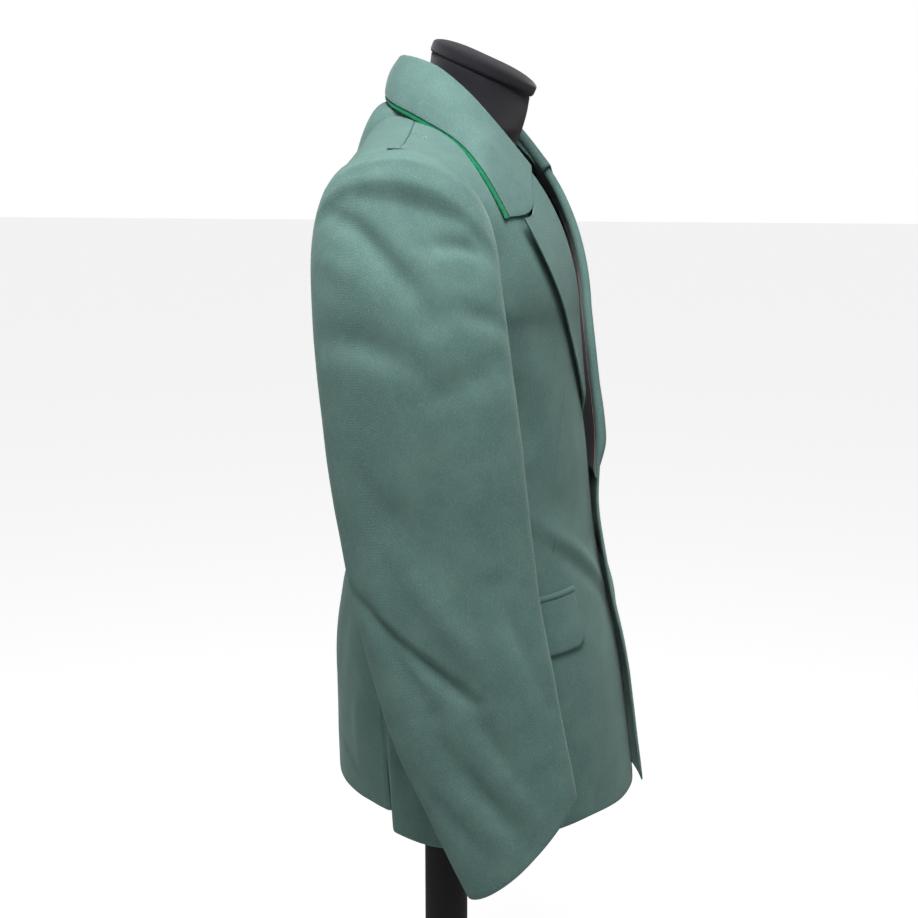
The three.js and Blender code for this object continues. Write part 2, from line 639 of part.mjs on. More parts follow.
function addLapel(side, hand) {
  const sheet = (s, t) => facingSurface(s, t, hand);
  const across = [0, 0.15, 0.3, 0.35, 0.4, 0.45, 0.5, 0.62, 0.75, 0.84, 0.92, 1];
  const rows = [0, 0.1, 0.2, 0.3, 0.4, 0.5, 0.6, 0.7, 0.79, 0.87, 0.94, 1];
  const thick = (s) => facingCloth / 2 + 0.35 * smooth(stripShare, turnShare, s);
  const facing = clothWall(sheet, across, rows, thick, (s) => -thick(s), -hand);
  addPiece(`facing_${side}`, facing, tunicGreen, 0.85);

  const startZ = hand === LEFT ? lapel.startLeftZ : lapel.startRightZ;
  const heights = rows.map((t) => mix(startZ, lapel.gorgeZ, t));
  const liningSheet = (share, z) => {
    const width = frontWidth(z, hand);
    const distance = mix(lapel.facing + pipingWidth + 2 * layerGap, width * 0.97, share);
    return onFront(distance, z, -facingDepth - 0.5 - share, hand);
  };
  const lining = clothWall(liningSheet, evenly(0, 1, 7), heights, liningCloth / 2, -liningCloth / 2, hand);
  addPiece(`lining_${side}`, lining, liningPlum, 0.45);

  const pipingSheet = (share, z) => {
    return onFront(lapel.facing + layerGap + pipingWidth * share, z, -facingDepth - 0.4, hand);
  };
  const piping = clothWall(pipingSheet, [0, 1], heights, pipingWidth / 2, -pipingWidth / 2, hand);
  addPiece(`facing_piping_${side}`, piping, pipingPink, 0.6);
}

// ---- Collar ----

// The edge of the panels that the collar is sewn to, from the nape (0) to the gorge (1).
function neckEdge(at) {
  if (at <= 0.5) return backTop((napeShare * at) / 0.5);
  const low = frontLevel(0, armLevelZ);
  const gorgeHeight = (lapel.gorgeZ + 2 - armLevelZ) / (neckPoint.z - armLevelZ);
  const reach = Math.sqrt(1 - gorgeHeight ** 2) * ((at - 0.5) / 0.5);
  const z = mix(armLevelZ, neckPoint.z, Math.sqrt(1 - reach ** 2));
  return new THREE.Vector3(openingAt(z), mix(neckPoint.y, low.y, reach), z);
}

// The collar's front end, along the gorge from the roll line (0) to the collar's corner (1).
function gorgePoint(q) {
  const rise = readTable(gorge, 'share', 'lapelDrop', q) - readTable(gorge, 'share', 'collarDrop', q);
  return lapelPoint(q, 1, LEFT).add(new THREE.Vector3(0, 0, rise));
}

function gorgeStation() {
  const z = lapel.gorgeZ - gorge[0].collarDrop;
  const fold = rollPoint(z, 0, LEFT).addScaledVector(frontOutward(z), standClear);
  const edge = gorgePoint(1);
  const foldZ = fold.z + collarRadius / 2;
  return { at: 1, foldX: fold.x, foldY: fold.y, foldZ, edgeX: edge.x, edgeY: edge.y, edgeZ: edge.z };
}

const collarRows = [...collarStations, gorgeStation()];
const collarStandShare = 0.3;
const collarFallShare = 0.5;

// The stand's foot, on the panels' edge behind and passing inside the fronts towards the gorge.
function standFoot(at, fold) {
  const edge = neckEdge(at);
  const beyond = at < 0.55 ? fold.clone().sub(edge).normalize() : frontOutward(Math.min(edge.z, 1378));
  const foot = edge.clone().addScaledVector(beyond, mix(standClear, -standTuck, smooth(0.93, 1, at)));
  const within = smooth(0.7, 0.92, at);
  if (within > 0) {
    const normal = frontNormal(0, Math.min(edge.z, 1378), LEFT);
    foot.addScaledVector(normal, -(facingDepth + 1.8) * within);
  }
  return foot;
}

// Across the collar at a station: up the stand, over the fold and down the fall to the outer edge (1).
function collarPoint(w, at, hand) {
  const read = (column, where) => readTable(collarRows, 'at', column, where);
  const foldAt = (where) => new THREE.Vector3(...['foldX', 'foldY', 'foldZ'].map((name) => read(name, where)));
  const fold = foldAt(at);
  const edge = new THREE.Vector3(read('edgeX', at), read('edgeY', at), read('edgeZ', at));
  const foot = standFoot(at, fold);
  const up = fold.clone().sub(foot.clone().add(edge).multiplyScalar(0.5)).normalize();
  const small = 0.01;
  const along = at < 0.98 ? foldAt(at + small).sub(fold) : fold.clone().sub(foldAt(at - small));
  const outward = up.clone().cross(along).normalize();
  const centre = fold.clone().addScaledVector(up, -collarRadius);
  const standTop = centre.clone().addScaledVector(outward, -collarRadius);
  const fallTop = centre.clone().addScaledVector(outward, collarRadius);
  if (w < collarStandShare) return place(foot.lerp(standTop, w / collarStandShare), hand);
  if (w < collarFallShare) {
    const turn = (Math.PI * (w - collarStandShare)) / (collarFallShare - collarStandShare);
    centre.addScaledVector(outward, -collarRadius * Math.cos(turn));
    return place(centre.addScaledVector(up, collarRadius * Math.sin(turn)), hand);
  }
  const q = (w - collarFallShare) / (1 - collarFallShare);
  const ending = smooth(0.8, 1, at);
  const bulge = collarBulge * Math.sin(Math.PI * Math.min(q, 1));
  const free = fallTop.clone().lerp(edge, q).addScaledVector(outward, bulge);
  const ended = gorgePoint(q).addScaledVector(fallTop.sub(gorgePoint(0)), (1 - Math.min(q, 1)) ** 3);
  return place(free.lerp(ended, ending), hand);
}

function addCollar() {
  const along = evenly(-1, 1, 31);
  const across = [0, 0.15, 0.3, 0.35, 0.4, 0.45, 0.5, 0.62, 0.75, 0.84, 0.92, 1];
  const sheet = (w, at) => collarPoint(w, Math.abs(at), at < 0 ? RIGHT : LEFT);
  const upper = clothWall(sheet, across, along, layerGap * 0.5 + cloth, layerGap * 0.5, -1);
  addPiece('collar_upper', upper, collarGreen, 0.85);
  const proud = (feltProud / collarFall) * (1 - collarFallShare);
  const below = -layerGap * 0.5;
  const under = clothWall(sheet, [...across, 1 + proud], along, below, below - feltCloth, -1);
  addPiece('collar_under', under, feltGreen, 0.95);
}

// ---- Pockets and shoulder loops ----

function pocketU(z, out) {
  const edge = frontAngle(z, openingAt(z));
  return (frontAngle(z, out) - edge) / (frontSeamAngle - edge);
}

function addPocket(side, hand) {
  const place3 = (share, z, rise) => {
    const u = mix(pocketU(z, pocket.frontX), pocketU(z, pocket.backX), share);
    return frontAtHeight(u, z, hand).addScaledVector(frontNormal(u, z, hand), rise);
  };
  const half = pocket.cloth / 2;
  const width = pocket.backX - pocket.frontX;
  const flapSheet = (share, down) => {
    const fromEnd = Math.min(share, 1 - share) * width;
    const inCorner = Math.max(0, pocket.corner - fromEnd);
    const corner = pocket.corner - Math.sqrt(pocket.corner ** 2 - inCorner ** 2);
    const z = pocket.topZ - 0.6 - down * (pocket.flap - corner);
    return place3(share, z, half + 0.7 + 1.6 * Math.sin(Math.PI * 0.6 * down));
  };
  const columns = [0, 0.05, 0.12, 0.25, 0.4, 0.6, 0.75, 0.88, 0.95, 1];
  const flap = clothWall(flapSheet, columns, evenly(0, 1, 6), half, -half, -hand);
  addPiece(`pocket_flap_${side}`, flap, tunicGreen, 0.85);
  const jetSheet = (share, up) => place3(share, pocket.topZ + pocket.jet * up, half + 0.9);
  const jet = clothWall(jetSheet, columns, [0, 1], half, -half, hand);
  addPiece(`pocket_jet_${side}`, jet, tunicGreen, 0.85);
}

function addLoop(side, hand) {
  const half = shoulderLoop.cloth / 2;
  const uOf = (x) => (x - neckPoint.x) / (shoulderPoint.x - neckPoint.x);
  const sheet = (across, along) => {
    const u = mix(uOf(shoulderLoop.fromX), uOf(shoulderLoop.toX), across);
    const v = mix(shoulderLoop.fromShare, shoulderLoop.toShare, along);
    const at = frontOnHand(u, v, hand);
    const small = 1e-3;
    const du = frontOnHand(u + small, v, hand).sub(at);
    const dv = at.clone().sub(frontOnHand(u, v - small, hand));
    const normal = du.cross(dv).normalize().multiplyScalar(hand);
    return at.addScaledVector(normal, half + 0.4 + shoulderLoop.rise * Math.sin(Math.PI * along));
  };
  const strip = clothWall(sheet, [0, 1], evenly(0, 1, 9), half, -half, -hand);
  addPiece(`shoulder_loop_${side}`, strip, tunicGreen, 0.85);
}

// ---- Dress form ----

function formRing(section, grow, rise) {
  return Array.from({ length: formSides }, (_, k) => {
    const angle = (2 * Math.PI * k) / formSides;
    const depth = Math.cos(angle) > 0 ? section.middle - section.front : section.back - section.middle;
    const radius = superRadius(angle, section.half + grow, depth + grow, section.power);
    const y = section.middle - radius * Math.cos(angle);
    const tip = Math.hypot(1, section.tilt);
    return new THREE.Vector3(
      radius * Math.sin(angle),
      y - (rise * section.tilt) / tip,
      section.z + section.tilt * (y - section.middle) + rise / tip,
    );
  });
}

function addForm() {
  addPiece('form_torso', ringBody(formSections.map((section) => formRing(section, 0, 0))), formBlack, 0.9);
  const top = formSections[formSections.length - 1];
  const capRings = [
    formRing(top, neckCap.rim - neckCap.edge, 0.35),
    formRing(top, neckCap.rim, neckCap.edge * 0.6),
    formRing(top, neckCap.rim, neckCap.rise - neckCap.edge),
    formRing(top, neckCap.rim - neckCap.edge, neckCap.rise),
  ];
  addPiece('form_neck_cap', ringBody(capRings), standBlack, 0.8);

  const poleHeight = formSections[0].z - layerGap - pole.footTopZ - layerGap;
  const tube = new THREE.CylinderGeometry(pole.radius, pole.radius, poleHeight, 32);
  tube.rotateX(Math.PI / 2);
  tube.translate(0, 0, pole.footTopZ + layerGap + poleHeight / 2);
  addPiece('form_pole', tube, standBlack, 0.5);

  const profile = [
    [0, 0],
    [foot.radius, 0],
    [foot.radius, foot.thickness - foot.edge],
    [foot.radius - foot.edge, foot.thickness],
    [foot.hubRadius + foot.edge, foot.thickness],
    [foot.hubRadius, foot.thickness + foot.edge],
    [foot.hubRadius, pole.footTopZ],
    [0, pole.footTopZ],
  ].map(([x, y]) => new THREE.Vector2(x, y));
  const disc = new THREE.LatheGeometry(profile, 36);
  disc.rotateX(Math.PI / 2);
  addPiece('form_foot', disc, standBlack, 0.5);
}

[['right', RIGHT], ['left', LEFT]].forEach(([side, hand]) => {
  addBody(side, hand);
  addSleeve(side, hand);
  addLapel(side, hand);
  addPocket(side, hand);
  addLoop(side, hand);
});
addCollar();
addForm();

export default tunic;
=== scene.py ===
import math

import bpy
import mathutils
import numpy as np
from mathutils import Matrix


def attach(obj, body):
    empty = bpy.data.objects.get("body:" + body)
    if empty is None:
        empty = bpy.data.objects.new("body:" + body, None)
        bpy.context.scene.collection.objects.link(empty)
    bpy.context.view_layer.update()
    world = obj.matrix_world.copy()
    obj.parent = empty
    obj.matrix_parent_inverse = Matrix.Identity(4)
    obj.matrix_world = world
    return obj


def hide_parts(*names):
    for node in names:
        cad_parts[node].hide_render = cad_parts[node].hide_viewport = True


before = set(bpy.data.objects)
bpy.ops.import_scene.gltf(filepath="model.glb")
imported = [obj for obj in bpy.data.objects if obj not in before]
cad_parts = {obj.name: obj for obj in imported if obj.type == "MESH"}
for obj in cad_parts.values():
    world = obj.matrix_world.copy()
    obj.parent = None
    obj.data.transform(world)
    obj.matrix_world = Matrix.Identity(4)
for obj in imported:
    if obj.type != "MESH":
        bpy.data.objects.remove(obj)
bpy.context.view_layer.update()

# A military tunic on a limbless dress form. Sizes here are millimetres, and meshes are metres.
# The wearer faces -Y and the wearer's left is +X. Shapes are worked out for one side with x
# counted outwards from the middle of the body, and hand (-1 right, +1 left) places them.
mm = 0.001
degree = math.pi / 180
right, left = -1, 1
hands = {"right": right, "left": left}

cloth = {"tunic": 1.5, "facing": 1.3, "lining": 1.0, "felt": 1.0, "layerGap": 0.4, "insideGap": 1.3}
collarEase = 0.9
wavy = {"panel": 0.9, "sleeve": 0.8}


# Small tools on whole arrays

def point(x, y, z):
    # the three coordinates, broadcast against each other and stacked last
    return np.stack(np.broadcast_arrays(x, y, z), axis=-1).astype(float)


def unit(p):
    # p divided by its length
    return p / np.linalg.norm(p, axis=-1, keepdims=True)


def mix(a, b, share):
    # a + (b - a) * share
    return a + (b - a) * share


def between(p, q, share):
    # the point that lies a share of the way from p to q
    return p + (q - p) * np.asarray(share)[..., None]


def smooth(low, high, at):
    # x^2 (3 - 2x), where x runs from 0 at low to 1 at high
    x = np.clip((at - low) / (high - low), 0, 1)
    return x * x * (3 - 2 * x)


def read(table, key, column, at):
    # cubic from row to row: a + (b - a) s^2 (3 - 2s) + s (1 - s)^2 k slopeA + s^2 (s - 1) k slopeB
    keys = np.asarray(table[key], float)
    values = np.asarray(table[column], float)
    at = np.asarray(at, float)
    last = len(keys) - 1
    rows = np.arange(len(keys))
    before, after = np.maximum(rows - 1, 0), np.minimum(rows + 1, last)
    slope = (values[after] - values[before]) / (keys[after] - keys[before])
    i = np.clip(np.searchsorted(keys, at, side="left") - 1, 0, last - 1)
    step = keys[i + 1] - keys[i]
    s = np.clip((at - keys[i]) / step, 0, 1)
    rise = (values[i + 1] - values[i]) * s * s * (3 - 2 * s)
    leave = s * (1 - s) ** 2 * slope[i] * step
    arrive = s * s * (s - 1) * slope[i + 1] * step
    return values[i] + rise + leave + arrive


def fold(x0, y0, x1, y1, width, depth, bow=0, sharp=0, widen=0):
    # a trough from one point to another, and a minus depth makes a ridge
    return {
        "start": (x0, y0), "end": (x1, y1), "width": width, "depth": depth,
        "bow": bow, "sharp": sharp, "widen": widen, "fade": min(width, 20),
    }


crease = {"widen": 0.6, "narrow": 0.5, "turn": 4, "low": 0.1, "power": 0.8}


def creaseDepth(across, along, folds):
    # sum over the folds of depth * ends * exp(-(off / width)^2 - (past / fade)^2), where off is the
    # distance from a bowed line, width is narrower by sharp where off is more than 0, past is how
    # far beyond its ends a point lies, and ends is sin(pi share)^power
    total = np.zeros(np.broadcast_shapes(np.shape(across), np.shape(along)))
    for row in folds:
        (x0, y0), (x1, y1) = row["start"], row["end"]
        length = math.hypot(x1 - x0, y1 - y0)
        share = ((across - x0) * (x1 - x0) + (along - y0) * (y1 - y0)) / length / length
        inside = np.clip(share, 0, 1)
        off = ((across - x0) * (y1 - y0) - (along - y0) * (x1 - x0)) / length
        off = off - row["bow"] * 4 * inside * (1 - inside)
        width = row["width"] * (1 + crease["widen"] * inside * row["widen"])
        narrow = crease["narrow"] * (1 + np.tanh(off / width * crease["turn"]))
        width = width * (1 - row["sharp"] * narrow)
        past = np.maximum(0, np.maximum(-share, share - 1)) * length
        ends = np.sin(math.pi * np.clip(share, crease["low"], 1 - crease["low"])) ** crease["power"]
        total = total + row["depth"] * ends * np.exp(-(off / width) ** 2 - (past / row["fade"]) ** 2)
    return total


def roundRadius(angle, half, depth, power):
    # radius of a rounded section: (|sin / half|^power + |cos / depth|^power)^(-1 / power)
    across = (np.abs(np.sin(angle)) / half) ** power
    ahead = (np.abs(np.cos(angle)) / depth) ** power
    return (across + ahead) ** (-1 / power)


def place(p, hand):
    # the point on its own side of the body
    return p * np.array([hand, 1, 1])


def stepsWithin(count, close, near=()):
    # even shares from 0 to 1, with extra ones close to both ends and round the shares in near
    extra = np.array([0.35, 1, 2, 3.4]) * close
    around = [at + side * extra for at in near for side in (-1, 1)]
    every = np.concatenate([np.linspace(0, 1, count), extra, 1 - extra, np.array(near), *around])
    return np.unique(np.clip(every, 0, 1).round(6))


def grid(first, second):
    # two arrays with a row for each of first and a column for each of second
    return np.meshgrid(first, second, indexing="ij")


def panelGrid(sizes, near=()):
    # the shares across and up a panel, closer at its edges
    return grid(
        stepsWithin(sizes["columns"], sizes["close"], near), stepsWithin(sizes["rows"], sizes["close"]))


def calmEdges(share, width):
    # 0 at both ends of the share and 1 from width inwards
    return smooth(0, width, share) * smooth(0, width, 1 - share)


# The body's surface, one side

body = {
    "hemZ": 641, "armLevelZ": 1180, "sideLineY": -40, "frontPower": 2.1,
    "z": [640, 720, 810, 880, 960, 1040, 1110, 1180],
    "half": [192, 194, 192, 186, 180, 182, 190, 198],
    "front": [-217, -206, -193, -176, -162, -155, -150, -147],
    "back": [124, 125, 123, 111, 94, 88, 91, 95],
    "backPower": [1.6, 1.75, 1.95, 2.1, 2.2, 2.3, 2.5, 2.7],
    "upperShare": 0.38, "flatMiddle": (0.02, 0.12),
}
shoulder = {
    "neck": (85, 12, 1384), "sleeve": (235, 2, 1344), "hollow": 6, "napeY": 54, "napeZ": 1400,
    "napeShare": 0.36, "frontDome": (2, 1.8), "backDome": (2.5, 3.2),
}
opening = {
    "z": [640, 975, 1047, 1107, 1213, 1291, 1323, 1349, 1368, 1384],
    "out": [-20, -20, -1, 19, 53, 78, 87, 89, 90, 85],
}
frontHem = {"turn": [-8, 20, 45, 92, 125], "z": [647, 651, 657, 641, 641], "corner": 24}
backHem = {"turn": [110, 150, 180], "z": [664, 656, 650]}
lap = {
    "z": [640, 900, 975, 1042, 1110, 1200, 1290, 1384],
    "rise": [13, 13, 12, 17, 12, 4, 0, 0],
    "reach": 85,
}
vent = {
    "topZ": 880, "widestZ": 775, "gape": 9, "turn": (-2, 13), "low": 24, "past": 8, "sunk": 3.6,
    "columns": 14, "rows": 50,
}
sleeve = {
    "ring": list(range(13)),
    "outX": [235, 259, 280, 293, 300, 299, 291, 282, 278, 275, 272, 269, 266],
    "outZ": [1344, 1347, 1331, 1292, 1228, 1150, 1065, 990, 922, 855, 791, 724, 656],
    "inX": [198, 200, 203, 207, 210, 213, 217, 220, 221, 222, 223, 224, 225],
    "inZ": [1165, 1163, 1160, 1155, 1140, 1110, 1050, 990, 922, 855, 791, 732, 678],
    "frontY": [-68, -84, -93, -99, -106, -113, -121, -128, -137, -149, -159, -168, -174],
    "frontZ": [1254.5, 1262, 1252, 1222, 1180, 1127, 1060, 995, 930, 868, 814, 768, 734],
    "backY": [78, 80, 80, 79, 77, 73, 66, 56, 43, 26, 3, -30, -67],
    "backZ": [1251, 1252, 1246, 1226, 1188, 1130, 1055, 985, 914, 842, 768, 698, 622],
    "scoop": [30, 14, 4, 0, 0, 0, 0, 0, 0, 0, 0, 0, 0],
    "full": [4, 4, 3, 1, 0, 0, 0, 0, 0, 0, 0, 0, 0],
    "start": -0.8, "frontSeam": 112, "backSeam": -104, "seamGap": 0.38,
}

# Folds of the fronts and backs, as distance out from the middle and height
frontFolds = [
    fold(152, 986, -6, 876, 13, -4.5, sharp=0.4),
    fold(150, 966, 20, 874, 9, 3.6, bow=3),
    fold(150, 1012, 60, 968, 18, 3),
    fold(160, 1150, 142, 1030, 24, 7),
    fold(172, 1216, 96, 1120, 22, 2),
    fold(30, 835, 62, 690, 26, 2),
    fold(112, 800, 130, 670, 24, -2),
    fold(10, 944, 62, 925, 9, 1.6),
    fold(158, 820, 168, 670, 16, 2.4),
]
backFolds = [
    fold(70, 705, 134, 664, 13, 4.5, sharp=0.3),
    fold(150, 800, 132, 700, 10, -3.5, bow=5),
    fold(172, 840, 150, 690, 9, 4, bow=-6),
    fold(60, 940, 160, 1006, 18, 4.5, bow=8),
    fold(40, 905, 150, 930, 13, 3, bow=-5),
    fold(36, 860, 60, 690, 22, 3.5),
    fold(112, 900, 92, 760, 18, 3.5),
    fold(150, 1220, 96, 1070, 20, 3.5, bow=10),
    fold(176, 1150, 120, 1030, 13, 2.6, bow=5),
]


def levelPoint(z, angle):
    # a level section: x = r sin, y = sideLine - r cos, with the angle 0 in the middle of the front
    ahead = np.cos(angle) > 0
    front, back = read(body, "z", "front", z), read(body, "z", "back", z)
    depth = np.where(ahead, body["sideLineY"] - front, back - body["sideLineY"])
    power = np.where(ahead, body["frontPower"], read(body, "z", "backPower", z))
    radius = roundRadius(angle, read(body, "z", "half", z), depth, power)
    return point(radius * np.sin(angle), body["sideLineY"] - radius * np.cos(angle), z)


def frontAngle(z, out):
    # the angle at which the front lies out from the middle: atan2(out, depth (1 - |out/half|^p)^(1/p))
    depth = body["sideLineY"] - read(body, "z", "front", z)
    kept = 1 - (np.abs(out) / read(body, "z", "half", z)) ** body["frontPower"]
    return np.arctan2(out, depth * np.maximum(kept, 1e-6) ** (1 / body["frontPower"]))


def sleevePoint(ring, angle):
    # a sleeve ring: an ellipse from its outer, inner, front and back points, bent by sin^2 where
    # those are not in one plane, and made full by 4 (sin cos)^2 between its top and its back;
    # the angle is 0 on the outer side and 90 degrees in front
    outX, inX, outZ, inZ, frontY, backY, frontZ, backZ, scoop, full = (
        read(sleeve, "ring", name, ring)
        for name in ("outX", "inX", "outZ", "inZ", "frontY", "backY", "frontZ", "backZ", "scoop", "full")
    )
    c, s = np.cos(angle), np.sin(angle)
    x = (outX + inX) / 2 + (outX - inX) / 2 * c - scoop * s ** 4
    fuller = full * 4 * np.minimum(s, 0) ** 2 * np.maximum(c, 0) ** 2
    y = (frontY + backY) / 2 - (backY - frontY) / 2 * s + fuller
    bend = (frontZ + backZ) / 2 - (outZ + inZ) / 2
    z = (outZ + inZ) / 2 + (outZ - inZ) / 2 * c + (frontZ - backZ) / 2 * s + bend * s * s + fuller
    return point(x, y, z)


def armholeAngle(z):
    # the armhole's angle at a height: acos((z - middle) / half height)
    high, low = sleeve["outZ"][0], sleeve["inZ"][0]
    return np.arccos(np.clip((z - (high + low) / 2) / ((high - low) / 2), -1, 1))


armSeamAngle = float(armholeAngle(body["armLevelZ"]))
frontSeam, backSeam = sleevePoint(0, armSeamAngle), sleevePoint(0, -armSeamAngle)
frontSeamAngle = math.atan2(frontSeam[0], body["sideLineY"] - frontSeam[1])
backSeamAngle = math.atan2(backSeam[0], body["sideLineY"] - backSeam[1])
lowerShare = 1 - body["upperShare"]


def shoulderSeam(share):
    # straight from the neck to the sleeve, hollowed by hollow * sin(pi share)
    share = np.asarray(share, float)
    neck, end = np.array(shoulder["neck"], float), np.array(shoulder["sleeve"], float)
    p = between(neck, end, share)
    p[..., 2] -= shoulder["hollow"] * np.sin(math.pi * share)
    return p


def backTop(u):
    # a quarter ellipse round the nape, then the shoulder seam
    u = np.asarray(u, float)
    turn = np.clip(u / shoulder["napeShare"], 0, 1) * math.pi / 2
    x, y, z = shoulder["neck"]
    rise = np.cos(turn)
    nape = point(x * np.sin(turn), y + (shoulder["napeY"] - y) * rise, z + (shoulder["napeZ"] - z) * rise)
    seam = shoulderSeam(np.clip((u - shoulder["napeShare"]) / (1 - shoulder["napeShare"]), 0, 1))
    return np.where((u > shoulder["napeShare"])[..., None], seam, nape)


def domePoint(low, top, s, power):
    # x and z go straight from low to top, and y keeps (1 - s^power)^(1/power) of its distance
    kept = np.maximum(0, 1 - s ** power) ** (1 / power)
    y = top[..., 1] + (low[..., 1] - top[..., 1]) * kept
    return point(mix(low[..., 0], top[..., 0], s), y, mix(low[..., 2], top[..., 2], s))


def upperPoint(u, s, lowAt, topAt, power, middleEdge, side):
    # the dome over the chest or back, whose edges are drawn onto the opening by (1 - u)^2
    # and onto the armhole by u^3
    at = domePoint(lowAt(u), topAt(u), s, mix(power[0], power[1], u))
    atMiddle = domePoint(lowAt(0 * u), topAt(0 * u), s, power[0])
    atSleeve = domePoint(lowAt(0 * u + 1), topAt(0 * u + 1), s, power[1])
    armholeZ = mix(body["armLevelZ"], shoulder["sleeve"][2], s)
    armhole = sleevePoint(0 * u, side * armholeAngle(armholeZ))
    at[..., 0] += (middleEdge(atMiddle[..., 2]) - atMiddle[..., 0]) * (1 - u) ** 2
    return at + (armhole - atSleeve) * (u ** 3)[..., None]


def openingAt(z):
    # how far the front's edge or roll line stands out from the middle
    return read(opening, "z", "out", z)


def frontLevel(u, z):
    # the level section between the opening (0) and the side seam (1)
    return levelPoint(z, mix(frontAngle(z, openingAt(z)), frontSeamAngle, u))


def frontHemZ(u):
    # the hem's height, lifted by a quarter circle at the front corner
    hemZ, corner = body["hemZ"], frontHem["corner"]
    turn = mix(frontAngle(hemZ, openingAt(hemZ)), frontSeamAngle, u) / degree
    fromEdge = frontLevel(u, 0 * u + hemZ)[..., 0] - openingAt(hemZ)
    inCorner = np.clip(corner - fromEdge, 0, corner)
    return read(frontHem, "turn", "z", turn) + corner - np.sqrt(corner ** 2 - inCorner ** 2)


def frontSurface(u, v):
    # u from the opening (0) to the side (1), v from the hem (0) to the shoulder (1): level sections
    # below the arm level, the dome above it, with the folds moved along y
    u, v = np.broadcast_arrays(np.asarray(u, float), np.asarray(v, float))
    low = frontLevel(u, mix(frontHemZ(u), body["armLevelZ"], np.minimum(v / lowerShare, 1)))
    s = np.sin(math.pi / 2 * np.clip((v - lowerShare) / body["upperShare"], 0, 1))
    high = upperPoint(
        u, s, lambda share: frontLevel(share, 0 * share + body["armLevelZ"]),
        shoulderSeam, shoulder["frontDome"], openingAt, 1,
    )
    p = np.where((v <= lowerShare)[..., None], low, high)
    p[..., 1] += creaseDepth(p[..., 0], p[..., 2], frontFolds)
    return p


def frontHeightShare(u, z):
    # the v at which a column of the front reaches a height: the inverse of frontSurface's z
    arm = body["armLevelZ"]
    below = lowerShare * (z - frontHemZ(u)) / (arm - frontHemZ(u))
    s = np.clip((z - arm) / (shoulderSeam(u)[..., 2] - arm), 0, 1)
    return np.where(z <= arm, below, lowerShare + body["upperShare"] * np.arcsin(s) * 2 / math.pi)


def frontOnHand(u, v, hand):
    # the left front stands forward of the right one by rise * smooth(1 - distance / reach)
    p = frontSurface(u, v)
    if hand == left:
        near = smooth(0, 1, 1 - (p[..., 0] - openingAt(p[..., 2])) / lap["reach"])
        p[..., 1] -= np.maximum(0, read(lap, "z", "rise", p[..., 2])) * near
    return place(p, hand)


def frontAtHeight(u, z, hand):
    # the front's point in column u at height z
    u, z = np.broadcast_arrays(np.asarray(u, float), np.asarray(z, float))
    return frontOnHand(u, frontHeightShare(u, z), hand)


def frontNormal(u, z, hand):
    # the unit of (step in u) x (step in z), turned out of the cloth
    small = 1e-3
    across = frontAtHeight(u + small, z, hand) - frontAtHeight(u, z, hand)
    up = frontAtHeight(u, z + 1, hand) - frontAtHeight(u, z - 1, hand)
    return unit(np.cross(across, up)) * hand


def frontWidth(z, hand):
    # the sum of eight straight steps from the opening to the side
    stops = [frontAtHeight(0 * z + u, z, hand) for u in np.linspace(0, 1, 9)]
    return sum(np.linalg.norm(b - a, axis=-1) for a, b in zip(stops, stops[1:]))


def frontOutward(z):
    # the way a front points at its edge, out of the cloth
    return unit(frontAtHeight(0 * z, z, left) - frontAtHeight(0 * z + 0.02, z, left))


def onFront(distance, z, rise, hand):
    # the point at a distance in from the roll line and a rise off the front's face
    z = np.asarray(z, float)
    u = distance / frontWidth(z, hand)
    return frontAtHeight(u, z, hand) + frontNormal(u, z, hand) * np.asarray(rise)[..., None]


def ventGape(z):
    # gape * cos^2 of the share of the way from the widest height to the vent's top or to the hem
    above = (z - vent["widestZ"]) / (vent["topZ"] - vent["widestZ"])
    below = (vent["widestZ"] - z) / (vent["widestZ"] - body["hemZ"])
    return vent["gape"] * np.cos(math.pi / 2 * np.clip(np.maximum(above, below), 0, 1)) ** 2


def backSurface(u, v):
    # u from the centre seam (0) to the side (1): level sections, then the dome over the shoulder blade
    u, v = np.broadcast_arrays(np.asarray(u, float), np.asarray(v, float))

    def levelAt(share, z):
        gap = np.where(z < vent["topZ"], ventGape(z) / read(body, "z", "half", z), 0)
        return levelPoint(z, mix(math.pi, backSeamAngle + gap, share))

    hem = read(backHem, "turn", "z", mix(math.pi, backSeamAngle, u) / degree)
    low = levelAt(u, mix(hem, body["armLevelZ"], np.minimum(v / lowerShare, 1)))
    s = np.sin(math.pi / 2 * np.clip((v - lowerShare) / body["upperShare"], 0, 1))
    high = upperPoint(
        u, s, lambda share: levelAt(share, 0 * share + body["armLevelZ"]),
        backTop, shoulder["backDome"], lambda z: 0 * z, -1,
    )
    p = np.where((v <= lowerShare)[..., None], low, high)
    p[..., 1] -= creaseDepth(p[..., 0], p[..., 2], backFolds) * smooth(*body["flatMiddle"], u)
    return p


def sideSurface(u, v):
    # level sections from the front seam to the back seam, drawn onto the armhole by v^8
    angle = mix(frontSeamAngle, backSeamAngle, u)
    turn = mix(armSeamAngle, 2 * math.pi - armSeamAngle, u)
    top = sleevePoint(0 * u, turn)
    hem = read(frontHem, "turn", "z", angle / degree)
    p = levelPoint(mix(hem, top[..., 2], v), angle)
    under = levelPoint(top[..., 2], angle)
    return p + (top - under) * (v ** 8)[..., None]


# Meshes

